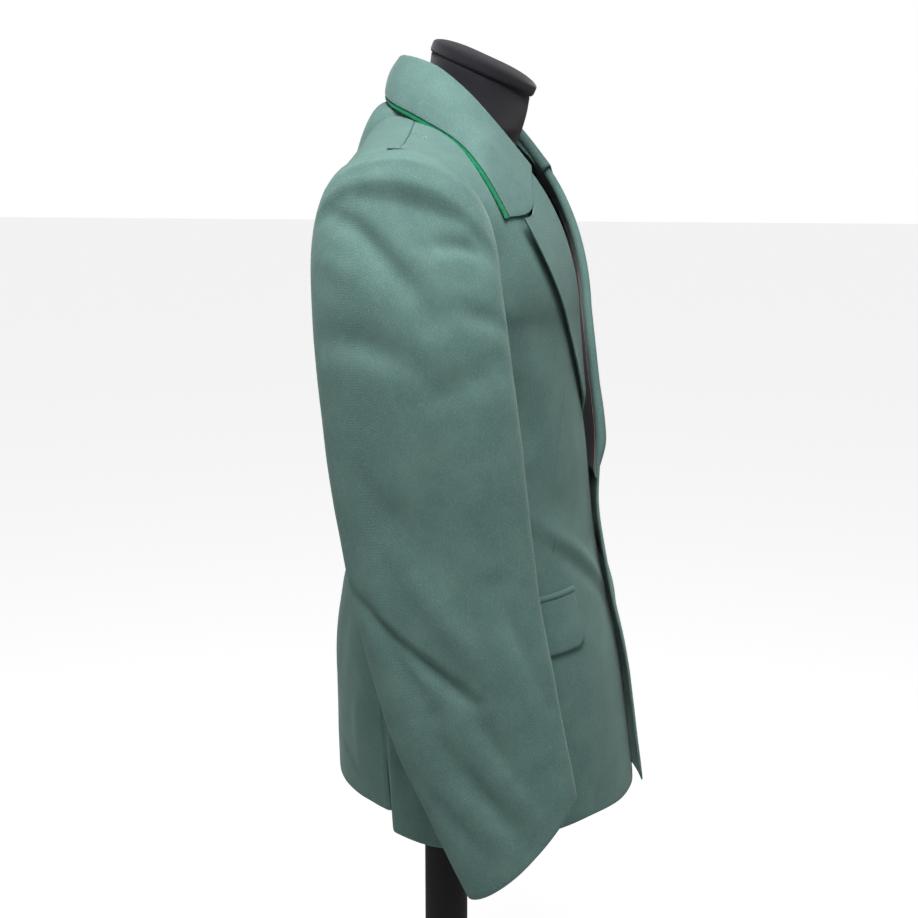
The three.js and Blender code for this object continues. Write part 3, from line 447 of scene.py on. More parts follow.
def meshObject(name, points, faceGroups, smoothCount, uv=None):
    # points in millimetres, faces as arrays of equal width, the first smoothCount of them smooth
    mesh = bpy.data.meshes.new(name)
    loops = np.concatenate([group.ravel() for group in faceGroups])
    widths = np.concatenate([np.full(len(group), group.shape[1]) for group in faceGroups])
    mesh.vertices.add(len(points))
    mesh.vertices.foreach_set("co", (points * mm).astype(np.float32).ravel())
    mesh.loops.add(len(loops))
    mesh.loops.foreach_set("vertex_index", loops.astype(np.int32))
    mesh.polygons.add(len(widths))
    mesh.polygons.foreach_set("loop_start", (np.cumsum(widths) - widths).astype(np.int32))
    mesh.polygons.foreach_set("use_smooth", np.arange(len(widths)) < smoothCount)
    if uv is not None:
        layer = mesh.uv_layers.new(name="cut")
        layer.data.foreach_set("uv", (uv[loops] * mm).astype(np.float32).ravel())
    mesh.update(calc_edges=True)
    mesh.validate()
    piece = bpy.data.objects.new(name, mesh)
    bpy.context.scene.collection.objects.link(piece)
    return piece


def gridSteps(p, axis):
    # running length along one way of the grid, from its first row
    steps = np.linalg.norm(np.diff(p, axis=axis), axis=-1)
    pad = [(0, 0), (0, 0)]
    pad[axis] = (1, 0)
    return np.pad(np.cumsum(steps, axis=axis), pad)


def gridNormals(p, turn):
    # the unit of (step in u) x (step in v), with the sign that points out of the cloth
    return unit(np.cross(np.gradient(p, axis=0), np.gradient(p, axis=1))) * turn


def clothShell(name, p, thick, turn, rise=0, roll=(0, 0, 0, 0), rollWidth=2.4):
    # a thin wall on the grid p: the outer face at rise, the inner face thick below it. roll gives how
    # deep each edge (first u, last u, first v, last v) turns in: depth * exp(-(distance / rollWidth)^2)
    along, up = gridSteps(p, 0), gridSteps(p, 1)
    normal = gridNormals(p, turn)
    distances = (along, along[-1:] - along, up, up[:, -1:] - up)
    sunk = sum(depth * np.exp(-(far / rollWidth) ** 2) for depth, far in zip(roll, distances) if depth)
    rows, columns = p.shape[:2]
    outer = p + normal * np.broadcast_to(rise - sunk, (rows, columns))[..., None]
    inner = outer - normal * np.broadcast_to(thick, (rows, columns))[..., None]
    count = rows * columns
    index = np.arange(count).reshape(rows, columns)
    a, b, c, d = (x.ravel() for x in (index[:-1, :-1], index[1:, :-1], index[1:, 1:], index[:-1, 1:]))
    outside, inside = np.stack([a, b, c, d], 1), np.stack([a, d, c, b], 1) + count
    rims = []
    for edge, way in ((index[:, 0], -1), (index[:, -1], 1), (index[0], 1), (index[-1], -1)):
        rim = np.stack([edge[:-1], edge[1:], edge[1:] + count, edge[:-1] + count], 1)
        rims.append(rim[:, ::way])
    faces = np.concatenate([outside, inside, *rims])
    if turn < 0:
        faces = faces[:, ::-1]
    uv = np.stack([along.ravel(), up.ravel()], 1)
    points = np.concatenate([outer.reshape(-1, 3), inner.reshape(-1, 3)])
    return meshObject(name, points, [faces], len(faces), np.concatenate([uv, uv]))


def closedTube(name, rings, turn=1):
    # rings of points, each closed round, with a fan over both ends
    count, sides = rings.shape[:2]
    index = np.arange(count * sides).reshape(count, sides)
    ahead = np.roll(index, -1, axis=1)
    walls = np.stack([index[:-1], ahead[:-1], ahead[1:], index[1:]], -1).reshape(-1, 4)
    low, high = count * sides, count * sides + 1
    bottom = np.stack([np.full(sides, low), ahead[0], index[0]], 1)
    top = np.stack([np.full(sides, high), index[-1], ahead[-1]], 1)
    points = np.concatenate([rings.reshape(-1, 3), rings[:1].mean(axis=1), rings[-1:].mean(axis=1)])
    fans = np.concatenate([bottom, top])
    if turn < 0:
        walls, fans = walls[:, ::-1], fans[:, ::-1]
    return meshObject(name, points, [walls, fans], len(walls))


def cutOf(p):
    # the flat cut of a grid: its longest way across, its longest way along, and its own area
    width, length = float(gridSteps(p, 0)[-1].max()), float(gridSteps(p, 1)[:, -1].max())
    u, v = p[1:, :-1] - p[:-1, :-1], p[:-1, 1:] - p[:-1, :-1]
    back, down = p[:-1, 1:] - p[1:, 1:], p[1:, :-1] - p[1:, 1:]
    halves = np.linalg.norm(np.cross(u, v), axis=-1) + np.linalg.norm(np.cross(back, down), axis=-1)
    area = float(halves.sum() / 2)
    return (width * mm, length * mm), min(max(area, 0.3 * width * length), width * length) * mm * mm


def dress(piece, node, slot, material, p=None):
    # the piece stands for its node and rides on the one body, and its cut's size and area are worked out but
    # not kept
    piece.data.materials.append(material)
    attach(piece, "root")
    if node:
        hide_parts(node)
    if p is not None:
        flat, area = cutOf(p)
    return piece


# Materials

def linear(red, green, blue):
    # a screen colour (0 to 255) as the linear numbers that a shader takes
    parts = [c / 255 for c in (red, green, blue)]
    return tuple(c / 12.92 if c <= 0.04045 else ((c + 0.055) / 1.055) ** 2.4 for c in parts) + (1.0,)


class Wire:
    # a socket: an expression on wires adds its Math nodes
    def __init__(self, shader, socket):
        self.shader = shader
        self.socket = socket

    def maths(self, operation, a, b):
        return self.shader.node("ShaderNodeMath", {"operation": operation}, {0: a, 1: b})

    def __add__(self, other):
        return self.maths("ADD", self, other)

    def __radd__(self, other):
        return self.maths("ADD", other, self)

    def __mul__(self, other):
        return self.maths("MULTIPLY", self, other)

    def __rmul__(self, other):
        return self.maths("MULTIPLY", other, self)


class Shader:
    # a material with one Principled surface, whose fixed numbers are set on its own sockets
    def __init__(self, name, **fixed):
        self.material = bpy.data.materials.new(name)
        self.material.use_nodes = True
        self.tree = self.material.node_tree
        self.surface = self.tree.nodes["Principled BSDF"]
        for socket, value in fixed.items():
            self.surface.inputs[socket.replace("_", " ")].default_value = value

    def node(self, kind, settings=None, sockets=None, out=0):
        made = self.tree.nodes.new(kind)
        for name, value in (settings or {}).items():
            setattr(made, name, value)
        for name, value in (sockets or {}).items():
            self.join(value, made.inputs[name])
        return Wire(self, made.outputs[out])

    def join(self, value, socket):
        if isinstance(value, Wire):
            self.tree.links.new(value.socket, socket)
        else:
            socket.default_value = value

    def feed(self, name, value):
        self.join(value, self.surface.inputs[name])

    def cut(self):
        # the piece's own cut in millimetres: across and along the cloth
        return self.scaled(self.node("ShaderNodeUVMap", {"uv_map": "cut"}), (1 / mm,) * 3)

    def place(self):
        # the object's own coordinates in millimetres
        return self.scaled(self.node("ShaderNodeTexCoord", out="Object"), (1 / mm,) * 3)

    def scaled(self, vector, sizes):
        return self.node("ShaderNodeVectorMath", {"operation": "MULTIPLY"}, {0: vector, 1: sizes})

    def noise(self, vector, size, detail, roughness=0.5):
        # a soft noise with lumps about size millimetres wide
        return self.node(
            "ShaderNodeTexNoise", {"noise_dimensions": "3D"},
            {"Vector": vector, "Scale": 1 / size, "Detail": detail, "Roughness": roughness},
        )

    def bands(self, vector, turn, period):
        # even bands across a direction turned in the cloth's own plane
        turned = self.node("ShaderNodeMapping", {}, {"Vector": vector, "Rotation": (0, 0, turn * degree)})
        return self.node("ShaderNodeTexWave", {"wave_profile": "SIN"}, {
            "Vector": turned, "Scale": math.pi / 10 / period, "Distortion": 1.2, "Detail": 1.0,
            "Detail Scale": 0.35,
        }, out="Fac")

    def blend(self, factor, a, b):
        # the colour between a and b
        return self.node("ShaderNodeMix", {"data_type": "RGBA"}, {0: factor, 6: a, 7: b}, out=2)

    def bump(self, height, depth):
        # depth in millimetres for a height that runs from 0 to 1
        self.feed("Normal", self.node("ShaderNodeBump", {}, {
            "Height": height, "Distance": depth * mm, "Strength": 1.0,
        }))


def stretch(wire, low, high, strength):
    # the wire's range low to high as 0 to strength, cut off outside
    ends = {"Value": wire, "From Min": low, "From Max": high}
    return wire.shader.node("ShaderNodeMapRange", {}, ends) * strength


# Sizes in millimetres; a range is where a noise is stretched from and how strong it then is
gabardine = {
    "twill": 1.35, "twillTurn": 62, "slub": (1.1, 9, 1.1), "speck": 1.5, "cloud": 34, "patch": 9,
    "patchRange": (0.36, 0.66, 0.55), "cloudRange": (0.42, 0.72, 0.35), "speckRange": (0.5, 0.72, 0.42),
    # the next weights and range paint shade into the weave's grooves, where ribs, slubs and specks are low
    "grooveShade": (0.5, 0.7, 0.3), "grooveShadeRange": (0.85, 0.45, 0.32), "relief": (0.24, 0.42, 0.5), "bump": 0.34,
    "rough": 0.82, "wander": 0.12, "sheen": 0.28, "sheenRough": 0.45, "tint": (196, 222, 214),
    "specular": 0.22,
}
plainLooks = {
    "felt": {
        "onCut": False, "grain": (0.8, 0.8, 0.8), "grainKind": (3, 0.7), "cloud": 5, "cloudKind": (2, 0.5),
        "inColour": 0.7, "range": (0.35, 0.65, 1), "inBump": 1, "bump": 0.4,
        "rough": 0.95, "wander": 0, "sheen": 0.1, "sheenRough": 0.6, "specular": 0.1,
    },
    "satin": {
        "onCut": True, "grain": (20, 1 / 2.2, 1), "grainKind": (2, 0.5), "cloud": 22, "cloudKind": (2, 0.5),
        "inColour": 1, "range": (0.35, 0.7, 0.35), "inBump": 0.6, "bump": 0.08,
        "rough": 0.32, "wander": 0.14, "sheen": 0.12, "sheenRough": 0.5, "specular": 0.5,
    },
    "jersey": {
        "onCut": False, "grain": (0.9, 0.9, 3.5), "grainKind": (1, 0.5), "cloud": 14, "cloudKind": (3, 0.5),
        "inColour": 0.6, "range": (0.4, 0.7, 0.6), "inBump": 1, "bump": 0.22,
        "rough": 0.8, "wander": 0.15, "sheen": 0.2, "sheenRough": 0.5, "specular": 0.2,
    },
    "paint": {
        "onCut": False, "grain": (1.2, 1.2, 1.2), "grainKind": (2, 0.5), "cloud": 30, "cloudKind": (4, 0.65),
        "inColour": 0, "range": (0.5, 0.8, 0.4), "inBump": 1, "bump": 0.06,
        "rough": 0.5, "wander": 0.12, "sheen": 0, "sheenRough": 0.5, "specular": 0.4,
    },
}


def surfaceShader(name, look):
    # the fixed numbers of a look on the surface's own sockets
    return Shader(
        name, Sheen_Weight=look["sheen"], Sheen_Roughness=look["sheenRough"],
        Specular_IOR_Level=look["specular"], Roughness=look["rough"],
    )


def gabardineCloth(name, main, cool, pale, grooveShadeColour):
    # a wool twill: diagonal ribs and slubs in the bump, colour that wanders between cool and pale,
    # fine specks of pale nap, and painted shade that darkens the gaps between ribs and slubs where the bump
    # is low
    g = gabardine
    shader = surfaceShader(name, g)
    shader.surface.inputs["Sheen Tint"].default_value = linear(*g["tint"])
    cut, own = shader.cut(), shader.place()
    ribs = shader.bands(cut, g["twillTurn"], g["twill"])
    slub = shader.noise(shader.scaled(cut, tuple(1 / size for size in g["slub"])), 1, 2)
    speck = shader.noise(own, g["speck"], 1, 0.6)
    colour = shader.blend(stretch(shader.noise(own, g["patch"], 3, 0.6), *g["patchRange"]), main, cool)
    colour = shader.blend(stretch(shader.noise(own, g["cloud"], 3, 0.55), *g["cloudRange"]), colour, pale)
    colour = shader.blend(stretch(speck, *g["speckRange"]), colour, pale)
    # painted shade: the colour is drawn towards the last colour in the weave's grooves, where the bump is low
    (ribShade, slubShade, speckShade), (ribRise, slubRise, speckRise) = g["grooveShade"], g["relief"]
    grooveShade = stretch(ribs * ribShade + slub * slubShade + speck * speckShade, *g["grooveShadeRange"])
    shader.feed("Base Color", shader.blend(grooveShade, colour, grooveShadeColour))
    shader.feed("Roughness", g["rough"] + g["wander"] * slub)
    shader.bump(ribs * ribRise + slub * slubRise + speck * speckRise, g["bump"])
    return shader.material


def plainCloth(name, low, high, look):
    # a fine grain and a slow cloud: their mix runs the colour from low to high and makes the bump,
    # and the cloud makes the roughness wander
    shader = surfaceShader(name, look)
    own = shader.place()
    sizes = tuple(1 / size for size in look["grain"])
    grain = shader.noise(shader.scaled(shader.cut() if look["onCut"] else own, sizes), 1, *look["grainKind"])
    cloud = shader.noise(own, look["cloud"], *look["cloudKind"])
    share = look["inColour"]
    mixed = stretch(grain * share + cloud * (1 - share), *look["range"])
    shader.feed("Base Color", shader.blend(mixed, low, high))
    if look["wander"]:
        shader.feed("Roughness", look["rough"] + look["wander"] * cloud)
    shader.bump(grain * look["inBump"] + cloud * (1 - look["inBump"]), look["bump"])
    return shader.material


tunicCloth = gabardineCloth(
    "tunic gabardine", linear(88, 118, 111), linear(84, 112, 113), linear(112, 143, 135), linear(58, 82, 78))
collarCloth = gabardineCloth(
    "collar gabardine", linear(85, 113, 108), linear(82, 110, 111), linear(108, 138, 131), linear(60, 84, 80))
collarFelt = plainCloth("collar felt", linear(0, 84, 55), linear(0, 126, 82), plainLooks["felt"])
liningSatin = plainCloth("lining satin", linear(36, 30, 38), linear(58, 50, 60), plainLooks["satin"])
pipingCord = plainCloth("piping", linear(130, 104, 108), linear(178, 150, 152), plainLooks["felt"])
eyeletThread = plainCloth("eyelet thread", linear(96, 120, 114), linear(150, 176, 168), plainLooks["felt"])
formCover = plainCloth("form jersey", linear(20, 19, 25), linear(34, 33, 40), plainLooks["jersey"])
standBlack = plainCloth("stand black", linear(14, 13, 17), linear(34, 33, 38), plainLooks["paint"])
print("materials made")


# Fronts, sides and backs

seam = {
    "inset": 0.0011, "sideInset": 0.0024, "topInset": 0.0001,
    "roll": 1.7, "backRoll": 1.19, "edgeRoll": 0.5, "topRoll": 0.45, "hemRoll": 0.35,
}
dart = {
    "z": [890, 1021, 1112], "out": [126, 105, 85], "width": 1.1, "depth": 1.3, "share": 0.45,
    "fadeLow": 12, "fadeHigh": 30,
}
frontGrid = {"columns": 62, "rows": 150, "close": 0.006}
backGrid = {"columns": 52, "rows": 140, "close": 0.006, "calm": 0.05}
sideGrid = {"columns": 30, "rows": 90, "close": 0.012, "calm": 0.12, "calmTop": 0.1}

# Folds of the side panels, as distance back from the front seam and height
sideFolds = [
    fold(74, 800, 66, 690, 9, -3.2),
    fold(54, 810, 46, 660, 10, 3),
    fold(20, 960, 80, 1000, 13, 3),
    fold(86, 900, 20, 940, 11, 2.4),
]


def ripple(p, depth):
    # the slight unevenness of pressed cloth: the sum of three slow waves that don't repeat together
    x, y, z = p[..., 0], p[..., 1], p[..., 2]
    slow = np.sin(x / 41 + z / 97 + 0.7) * np.sin(y / 37 - z / 61)
    middle = np.sin(x / 23 - y / 29 + z / 44 + 2.1) * np.sin(z / 31 + y / 53)
    small = np.sin((x + y) / 13.0 + z / 17.5) * np.sin((x - y) / 15.5 - z / 26.0 + 1.3)
    return depth * (0.5 * slow + 0.35 * middle + 0.15 * small)


def columnAt(z, out):
    # the front's u that lies a distance out from the middle at a height
    edge = frontAngle(z, openingAt(z))
    return (frontAngle(z, out) - edge) / (frontSeamAngle - edge)


def frontPiece(side, hand):
    # the grid's columns slide so that one of them runs down the dart, where the cloth sinks by
    # depth * exp(-(distance / width)^2)
    c, v = panelGrid(frontGrid, (dart["share"],))
    level = mix(body["hemZ"], body["armLevelZ"], np.minimum(v / lowerShare, 1))
    dartAt = columnAt(level, read(dart, "z", "out", level))
    before, after = c / dart["share"], (c - dart["share"]) / (1 - dart["share"])
    u = np.where(c < dart["share"], before * dartAt, dartAt + after * (1 - dartAt))
    p = frontOnHand(u * (1 - seam["inset"]), v * (1 - seam["topInset"]), hand)
    along = gridSteps(p, 0)
    middle = along[np.argmin(np.abs(c[:, 0] - dart["share"]))]
    z = p[..., 2]
    lowZ, highZ = dart["z"][0], dart["z"][-1]
    ends = smooth(lowZ, lowZ + dart["fadeLow"], z) * (1 - smooth(highZ - dart["fadeHigh"], highZ, z))
    sunk = dart["depth"] * ends * np.exp(-((along - middle) / dart["width"]) ** 2)
    roll = (seam["edgeRoll"], seam["roll"], seam["hemRoll"], seam["topRoll"])
    piece = clothShell(f"cloth_front_{side}", p, cloth["tunic"], hand, ripple(p, wavy["panel"]) - sunk, roll)
    dress(piece, f"front_{side}", "tunic_cloth", tunicCloth, p)


def sidePiece(side, hand):
    u, v = panelGrid(sideGrid)
    p = place(sideSurface(mix(seam["sideInset"], 1 - seam["sideInset"], u), v), hand)
    roll = (seam["roll"], seam["roll"], seam["hemRoll"], 0)
    away = calmEdges(u, sideGrid["calm"]) * smooth(0, sideGrid["calmTop"], 1 - v)
    rise = (ripple(p, wavy["panel"]) - creaseDepth(gridSteps(p, 0), p[..., 2], sideFolds)) * away
    piece = clothShell(f"cloth_side_{side}", p, cloth["tunic"], hand, rise, roll)
    dress(piece, f"side_{side}", "tunic_cloth", tunicCloth, p)


def backPiece(side, hand):
    u, v = panelGrid(backGrid)
    p = place(backSurface(mix(seam["inset"], 1 - seam["inset"], u), v * (1 - seam["topInset"])), hand)
    roll = (seam["backRoll"], seam["roll"], seam["hemRoll"], seam["topRoll"])
    rise = ripple(p, wavy["panel"]) * calmEdges(u, backGrid["calm"])
    piece = clothShell(f"cloth_back_{side}", p, cloth["tunic"], -hand, rise, roll)
    dress(piece, f"back_{side}", "tunic_cloth", tunicCloth, p)


def ventPiece(side, hand):
    # the vent's underlap: a strip of level sections behind the slit, sunk inside the back
    turn, height = grid(np.linspace(*vent["turn"], vent["columns"]), np.linspace(0, 1, vent["rows"]))
    z = mix(body["hemZ"] + vent["low"], vent["topZ"] + vent["past"], height)
    p = levelPoint(z, backSeamAngle + turn * degree)
    middle = point(0 * z, 0 * z + body["sideLineY"], z)
    p = place(p - unit(p - middle) * vent["sunk"], hand)
    piece = clothShell(f"cloth_vent_underlap_{side}", p, cloth["tunic"], hand)
    dress(piece, None, "tunic_cloth", tunicCloth, p)


for side, hand in hands.items():
    frontPiece(side, hand)
    sidePiece(side, hand)
    backPiece(side, hand)
    ventPiece(side, hand)
print("body panels made")


# Sleeves

sleeveGrid = {"upperColumns": 92, "underColumns": 44, "rows": 190, "close": 0.006}
sleeveRound, sleeveAlong = 85, 68       # millimetres for one radian and for one ring, for the folds


def sleeveFold(fromRing, fromAngle, toRing, toAngle, width, depth, bow=0, sharp=0, widen=0):
    # a fold laid out by ring number and by degrees round from the outer side
    start = (fromAngle * degree * sleeveRound, fromRing * sleeveAlong)
    end = (toAngle * degree * sleeveRound, toRing * sleeveAlong)
    return fold(*start, *end, width, depth, bow, sharp, widen)


sleeveFolds = [
    sleeveFold(2.42, -40, 2.8, 54, 64, 14, bow=-3, sharp=0.87),
    sleeveFold(1.6, -46, 1.85, 48, 10, -2.4),
    sleeveFold(2.42, -48, 4.3, 18, 13, 9.5, sharp=0.3, widen=0.5),
    sleeveFold(3.35, 18, 2.9, 62, 11, 5.5),
    sleeveFold(3.25, -58, 4.0, -22, 12, -3),
    sleeveFold(4.5, -60, 4.95, 6, 14, 5.5, bow=6),
    sleeveFold(4.2, 30, 4.0, 74, 12, 4),
    sleeveFold(5.3, 0, 4.7, 60, 13, 3.6, bow=-6),
    sleeveFold(5.2, 38, 7.4, 32, 15, -3),
    sleeveFold(5.9, -52, 7.1, -4, 17, 2.6),
    sleeveFold(7.72, -72, 9.35, 8, 9.5, 8, bow=4, sharp=0.35),
    sleeveFold(7.9, -54, 9.5, -24, 10, 6, widen=0.6),
    sleeveFold(7.2, -20, 9.0, 20, 14, -3.2),
    sleeveFold(7.3, 22, 10.4, 44, 15, -3.4),
    sleeveFold(7.6, 40, 9.7, 66, 12, 4.4),
    sleeveFold(9.2, 0, 11.3, 36, 13, 4.6),
    sleeveFold(9.5, -34, 11.8, 20, 14, 4.6, bow=-5),
    sleeveFold(10.4, -60, 11.7, -20, 15, 3.4),
    sleeveFold(2.6, 128, 3.1, 205, 11, 4.5, bow=5),
    sleeveFold(3.9, 120, 4.5, 215, 12, 3.5, bow=-4),
    sleeveFold(7.9, 122, 8.8, 210, 13, 3.5),
    sleeveFold(9.6, 130, 10.6, 220, 14, 3),
]


def sleeveSurface(angle, ring):
    # a point of the sleeve's ring, moved towards the ring's middle by the folds
    p = sleevePoint(ring, angle)
    middle = (sleevePoint(ring, 0 * angle) + sleevePoint(ring, 0 * angle + math.pi)) / 2
    out = unit(p - middle)
    depth = creaseDepth(angle * sleeveRound, ring * sleeveAlong, sleeveFolds)
    p[..., 0] += sleeve["start"]
    return p - out * depth[..., None]


def sleevePiece(name, node, hand, fromAngle, toAngle, columns):
    angle, ring = grid(
        mix(fromAngle, toAngle, stepsWithin(columns, sleeveGrid["close"])) * degree,
        sleeve["ring"][-1] * stepsWithin(sleeveGrid["rows"], sleeveGrid["close"] / 3))
    p = place(sleeveSurface(angle, ring), hand)
    roll = (seam["roll"], seam["roll"], seam["edgeRoll"], seam["hemRoll"])
    piece = clothShell(name, p, cloth["tunic"], hand, ripple(p, wavy["sleeve"]), roll)
    dress(piece, node, "tunic_cloth", tunicCloth, p)


for side, hand in hands.items():
    gap, front, back = sleeve["seamGap"], sleeve["frontSeam"], sleeve["backSeam"]
    sleevePiece(f"cloth_sleeve_upper_{side}", f"sleeve_upper_{side}", hand,
                back + gap, front - gap, sleeveGrid["upperColumns"])
    sleevePiece(f"cloth_sleeve_under_{side}", f"sleeve_under_{side}", hand,
                front + gap, 360 + back - gap, sleeveGrid["underColumns"])
print("sleeves made")


# Lapels, facings and linings

lapel = {
    "startZ": {right: 1062, left: 1000}, "gorgeZ": 1324, "facing": 32, "rows": 80,
    "z": [1000, 1062, 1107, 1175, 1240, 1324], "width": [9, 17, 30, 58, 74, 80],
    "atRoll": 4.4, "inside": 3, "atEdge": 5, "atCorner": 3.5, "strip": 0.3, "turned": 0.5,
    "rising": 0.13, "risen": 0.06, "hiddenIn": 2.5, "intoCollar": 0.03, "held": 0.97, "thicker": 0.7,
    "heldOver": (-0.06, 0.05), "hiddenLift": 1,
}
gorge = {
    "share": [0, 0.34, 0.68, 1], "lapelDrop": [0.8, 19, 39, 44], "collarDrop": [-3.4, 17, 37.6, 41],
    "corner": (9.5, 13, -1), "drawnFrom": 0.5,
}
lining = {"columns": 30, "reach": 0.97, "clear": 0.5, "sag": 1.9, "fine": 0.35, "slow": 0.5}
piping = {"width": 2, "sides": 13, "in": 0.4}
facingDepth = cloth["tunic"] + cloth["insideGap"] + cloth["facing"] / 2
rollRadius = (lapel["atRoll"] + facingDepth) / 2
collarRadius = rollRadius + collarEase


def rollPoint(z, turn, hand):
    # a half circle round the roll line, from inside the front (-90 degrees) to the lapel (90 degrees)
    normal, out = frontNormal(0 * z, z, hand), place(frontOutward(z), hand)
    up = lapel["atRoll"] - rollRadius + rollRadius * np.sin(turn)
    away = cloth["layerGap"] + rollRadius * np.cos(turn)
    return frontAtHeight(0 * z, z, hand) + normal * up[..., None] + out * away[..., None]


def lapelPoint(q, t, hand):
    # the lapel's face: a share q of its width from the roll line, t of the way up to the gorge
    z = mix(lapel["startZ"][hand], lapel["gorgeZ"], t)
    dip = 4 * (lapel["inside"] - lapel["atRoll"]) * q * (1 - q)
    lift = mix(lapel["atRoll"], lapel["atEdge"], q) + dip + lapel["atCorner"] * q * q * t ** 3
    drop = read(gorge, "share", "lapelDrop", q) * t * t
    return onFront(q * read(lapel, "z", "width", z), z - drop, lift, hand)


def facingSurface(s, t, hand):
    # a strip inside the front, the half circle round the roll line, then the lapel's face; it comes out
    # from behind the front over the first rising share of its height, and its roll runs on into the collar
    strip, turned = lapel["strip"], lapel["turned"]
    past = 1 - lapel["held"] * smooth(turned + lapel["heldOver"][0], turned + lapel["heldOver"][1], s)
    t = np.minimum(t, 1) + np.maximum(t - 1, 0) * past
    z = mix(lapel["startZ"][hand], lapel["gorgeZ"], t)
    inside = onFront(lapel["facing"] * (1 - np.clip(s / strip, 0, 1)), z, 0 * s - facingDepth, hand)
    turn = mix(-90, 90, np.clip((s - strip) / (turned - strip), 0, 1)) * degree
    face = lapelPoint(np.clip((s - turned) / (1 - turned), 0, 1), t, hand)
    rolled = rollPoint(z, turn, hand)
    p = np.where((s < strip)[..., None], inside, np.where((s < turned)[..., None], rolled, face))
    hidden = onFront(lapel["hiddenIn"] + 0 * z, z, 0 * z - facingDepth + lapel["hiddenLift"], hand)
    out = mix(lapel["risen"], 1, smooth(0, lapel["rising"], t))
    return between(hidden, p, np.maximum(out, smooth(strip, strip / 2, s)))


def facingPiece(side, hand):
    strip, turned = lapel["strip"], lapel["turned"]
    across = np.unique(np.concatenate([
        np.linspace(0, strip, 16), np.linspace(strip, turned, 16), np.linspace(turned, 1, 34),
        1 - np.array([0.004, 0.01, 0.018])]))
    up = np.append(stepsWithin(lapel["rows"], 0.006), 1 + lapel["intoCollar"] * np.array([0.3, 0.6, 1]))
    s, t = grid(across, up)
    p = facingSurface(s, t, hand)
    thick = cloth["facing"] + lapel["thicker"] * smooth(strip, turned, s)
    piece = clothShell(f"cloth_facing_{side}", p, thick, -hand, thick / 2, (0, 0.5, 0, 0.4), 1.6)
    dress(piece, f"facing_{side}", "tunic_cloth", collarCloth, p)


def openingHeights(hand):
    return np.linspace(lapel["startZ"][hand], lapel["gorgeZ"], lapel["rows"])


def liningPiece(side, hand):
    # the lining hangs behind the facing's depth, and sags and waves more the further in it lies
    share, z = grid(np.linspace(0, 1, lining["columns"]), openingHeights(hand))
    start = lapel["facing"] + piping["width"] + 2 * cloth["layerGap"]
    distance = mix(start, frontWidth(z, hand) * lining["reach"], share)
    slack = lining["fine"] * np.sin(z / 9 + share * 5) + lining["slow"] * np.sin(z / 33 + share * 9)
    p = onFront(distance, z, (slack - lining["sag"]) * share - facingDepth - lining["clear"], hand)
    piece = clothShell(f"lining_satin_{side}", p, cloth["lining"], hand, cloth["lining"] / 2)
    dress(piece, f"lining_{side}", "lining_satin", liningSatin, p)


def pipingPiece(side, hand):
    # a round cord along the facing's inner edge
    around, z = grid(np.linspace(0, 2 * math.pi, piping["sides"]), openingHeights(hand))
    radius = piping["width"] / 2
    start = lapel["facing"] + cloth["layerGap"] + radius
    depth = radius * np.sin(around) - facingDepth - piping["in"]
    p = onFront(start + radius * np.cos(around), z, depth, hand)
    piece = closedTube(f"piping_{side}", p[:-1].transpose(1, 0, 2), -hand)
    dress(piece, f"facing_piping_{side}", "piping", pipingCord)


for side, hand in hands.items():
    facingPiece(side, hand)
    liningPiece(side, hand)
    pipingPiece(side, hand)
print("lapels and linings made")


# Collar

collar = {
    "at": [0, 0.2, 0.38, 0.5, 0.66, 0.84],
    "foldX": [0, 37, 61, 71, 79, 86], "foldY": [41, 33, 12, -8, -36, -68],
    "foldZ": [1443, 1442, 1436, 1427, 1404, 1369],
    "edgeX": [0, 46, 82, 107, 137, 165], "edgeY": [59, 53, 37, 5, -39, -72],
    "edgeZ": [1411, 1405, 1394, 1379, 1355, 1322],
    "bulge": 3, "fall": 45, "standClear": 4.2, "standTuck": 5, "proud": 4, "endProud": 1.8,
    "stand": 0.3, "folded": 0.5, "rows": 190,
    "highest": 1378, "frontFrom": 0.55, "tucked": (0.93, 1), "within": (0.7, 0.92), "behind": 1.8,
    "ending": (0.8, 1), "rollWidth": 1.6, "napeEnd": 0.5, "overGorge": 2, "cornerFrom": 0.98,
}


def collarLine(name, at):
    # the collar's fold or its edge, from its own three columns
    return point(*(read(collar, "at", name + axis, at) for axis in "XYZ"))


def neckEdge(at):
    # the panels' edge that the collar is sewn to: the back neck, then the front's upper edge
    low = frontLevel(0 * at, 0 * at + body["armLevelZ"])
    x, y, z = shoulder["neck"]
    end = collar["napeEnd"]
    gorgeHeight = (lapel["gorgeZ"] + collar["overGorge"] - body["armLevelZ"]) / (z - body["armLevelZ"])
    reach = math.sqrt(1 - gorgeHeight ** 2) * np.clip((at - end) / (1 - end), 0, 1)
    height = mix(body["armLevelZ"], z, np.sqrt(1 - reach ** 2))
    front = point(openingAt(height), mix(y, low[..., 1], reach), height)
    nape = backTop(shoulder["napeShare"] * np.minimum(at, end) / end)
    return np.where((at <= end)[..., None], nape, front)


def gorgePoint(q):
    # the collar's front end, on the lapel's line, lifted over the gorge's gap, and drawn out to its own
    # corner by smooth
    rise = read(gorge, "share", "lapelDrop", q) - read(gorge, "share", "collarDrop", q)
    drawn = np.array(gorge["corner"]) * smooth(gorge["drawnFrom"], 1, q)[..., None]
    return lapelPoint(q, 0 * q + 1, left) + point(0 * q, 0 * q, rise) + drawn


def addGorgeStation():
    # the collar's last station: its fold comes off the roll line and its edge is the gorge's corner
    z = np.array(lapel["gorgeZ"] - gorge["collarDrop"][0], float)
    crest = rollPoint(z, np.array(0.0), left) + frontOutward(z) * collar["standClear"]
    crest[2] += collarRadius / 2
    collar["at"].append(1)
    for name, end in (("fold", crest), ("edge", gorgePoint(np.array(1.0)))):
        for axis, value in zip("XYZ", end):
            collar[name + axis].append(float(value))


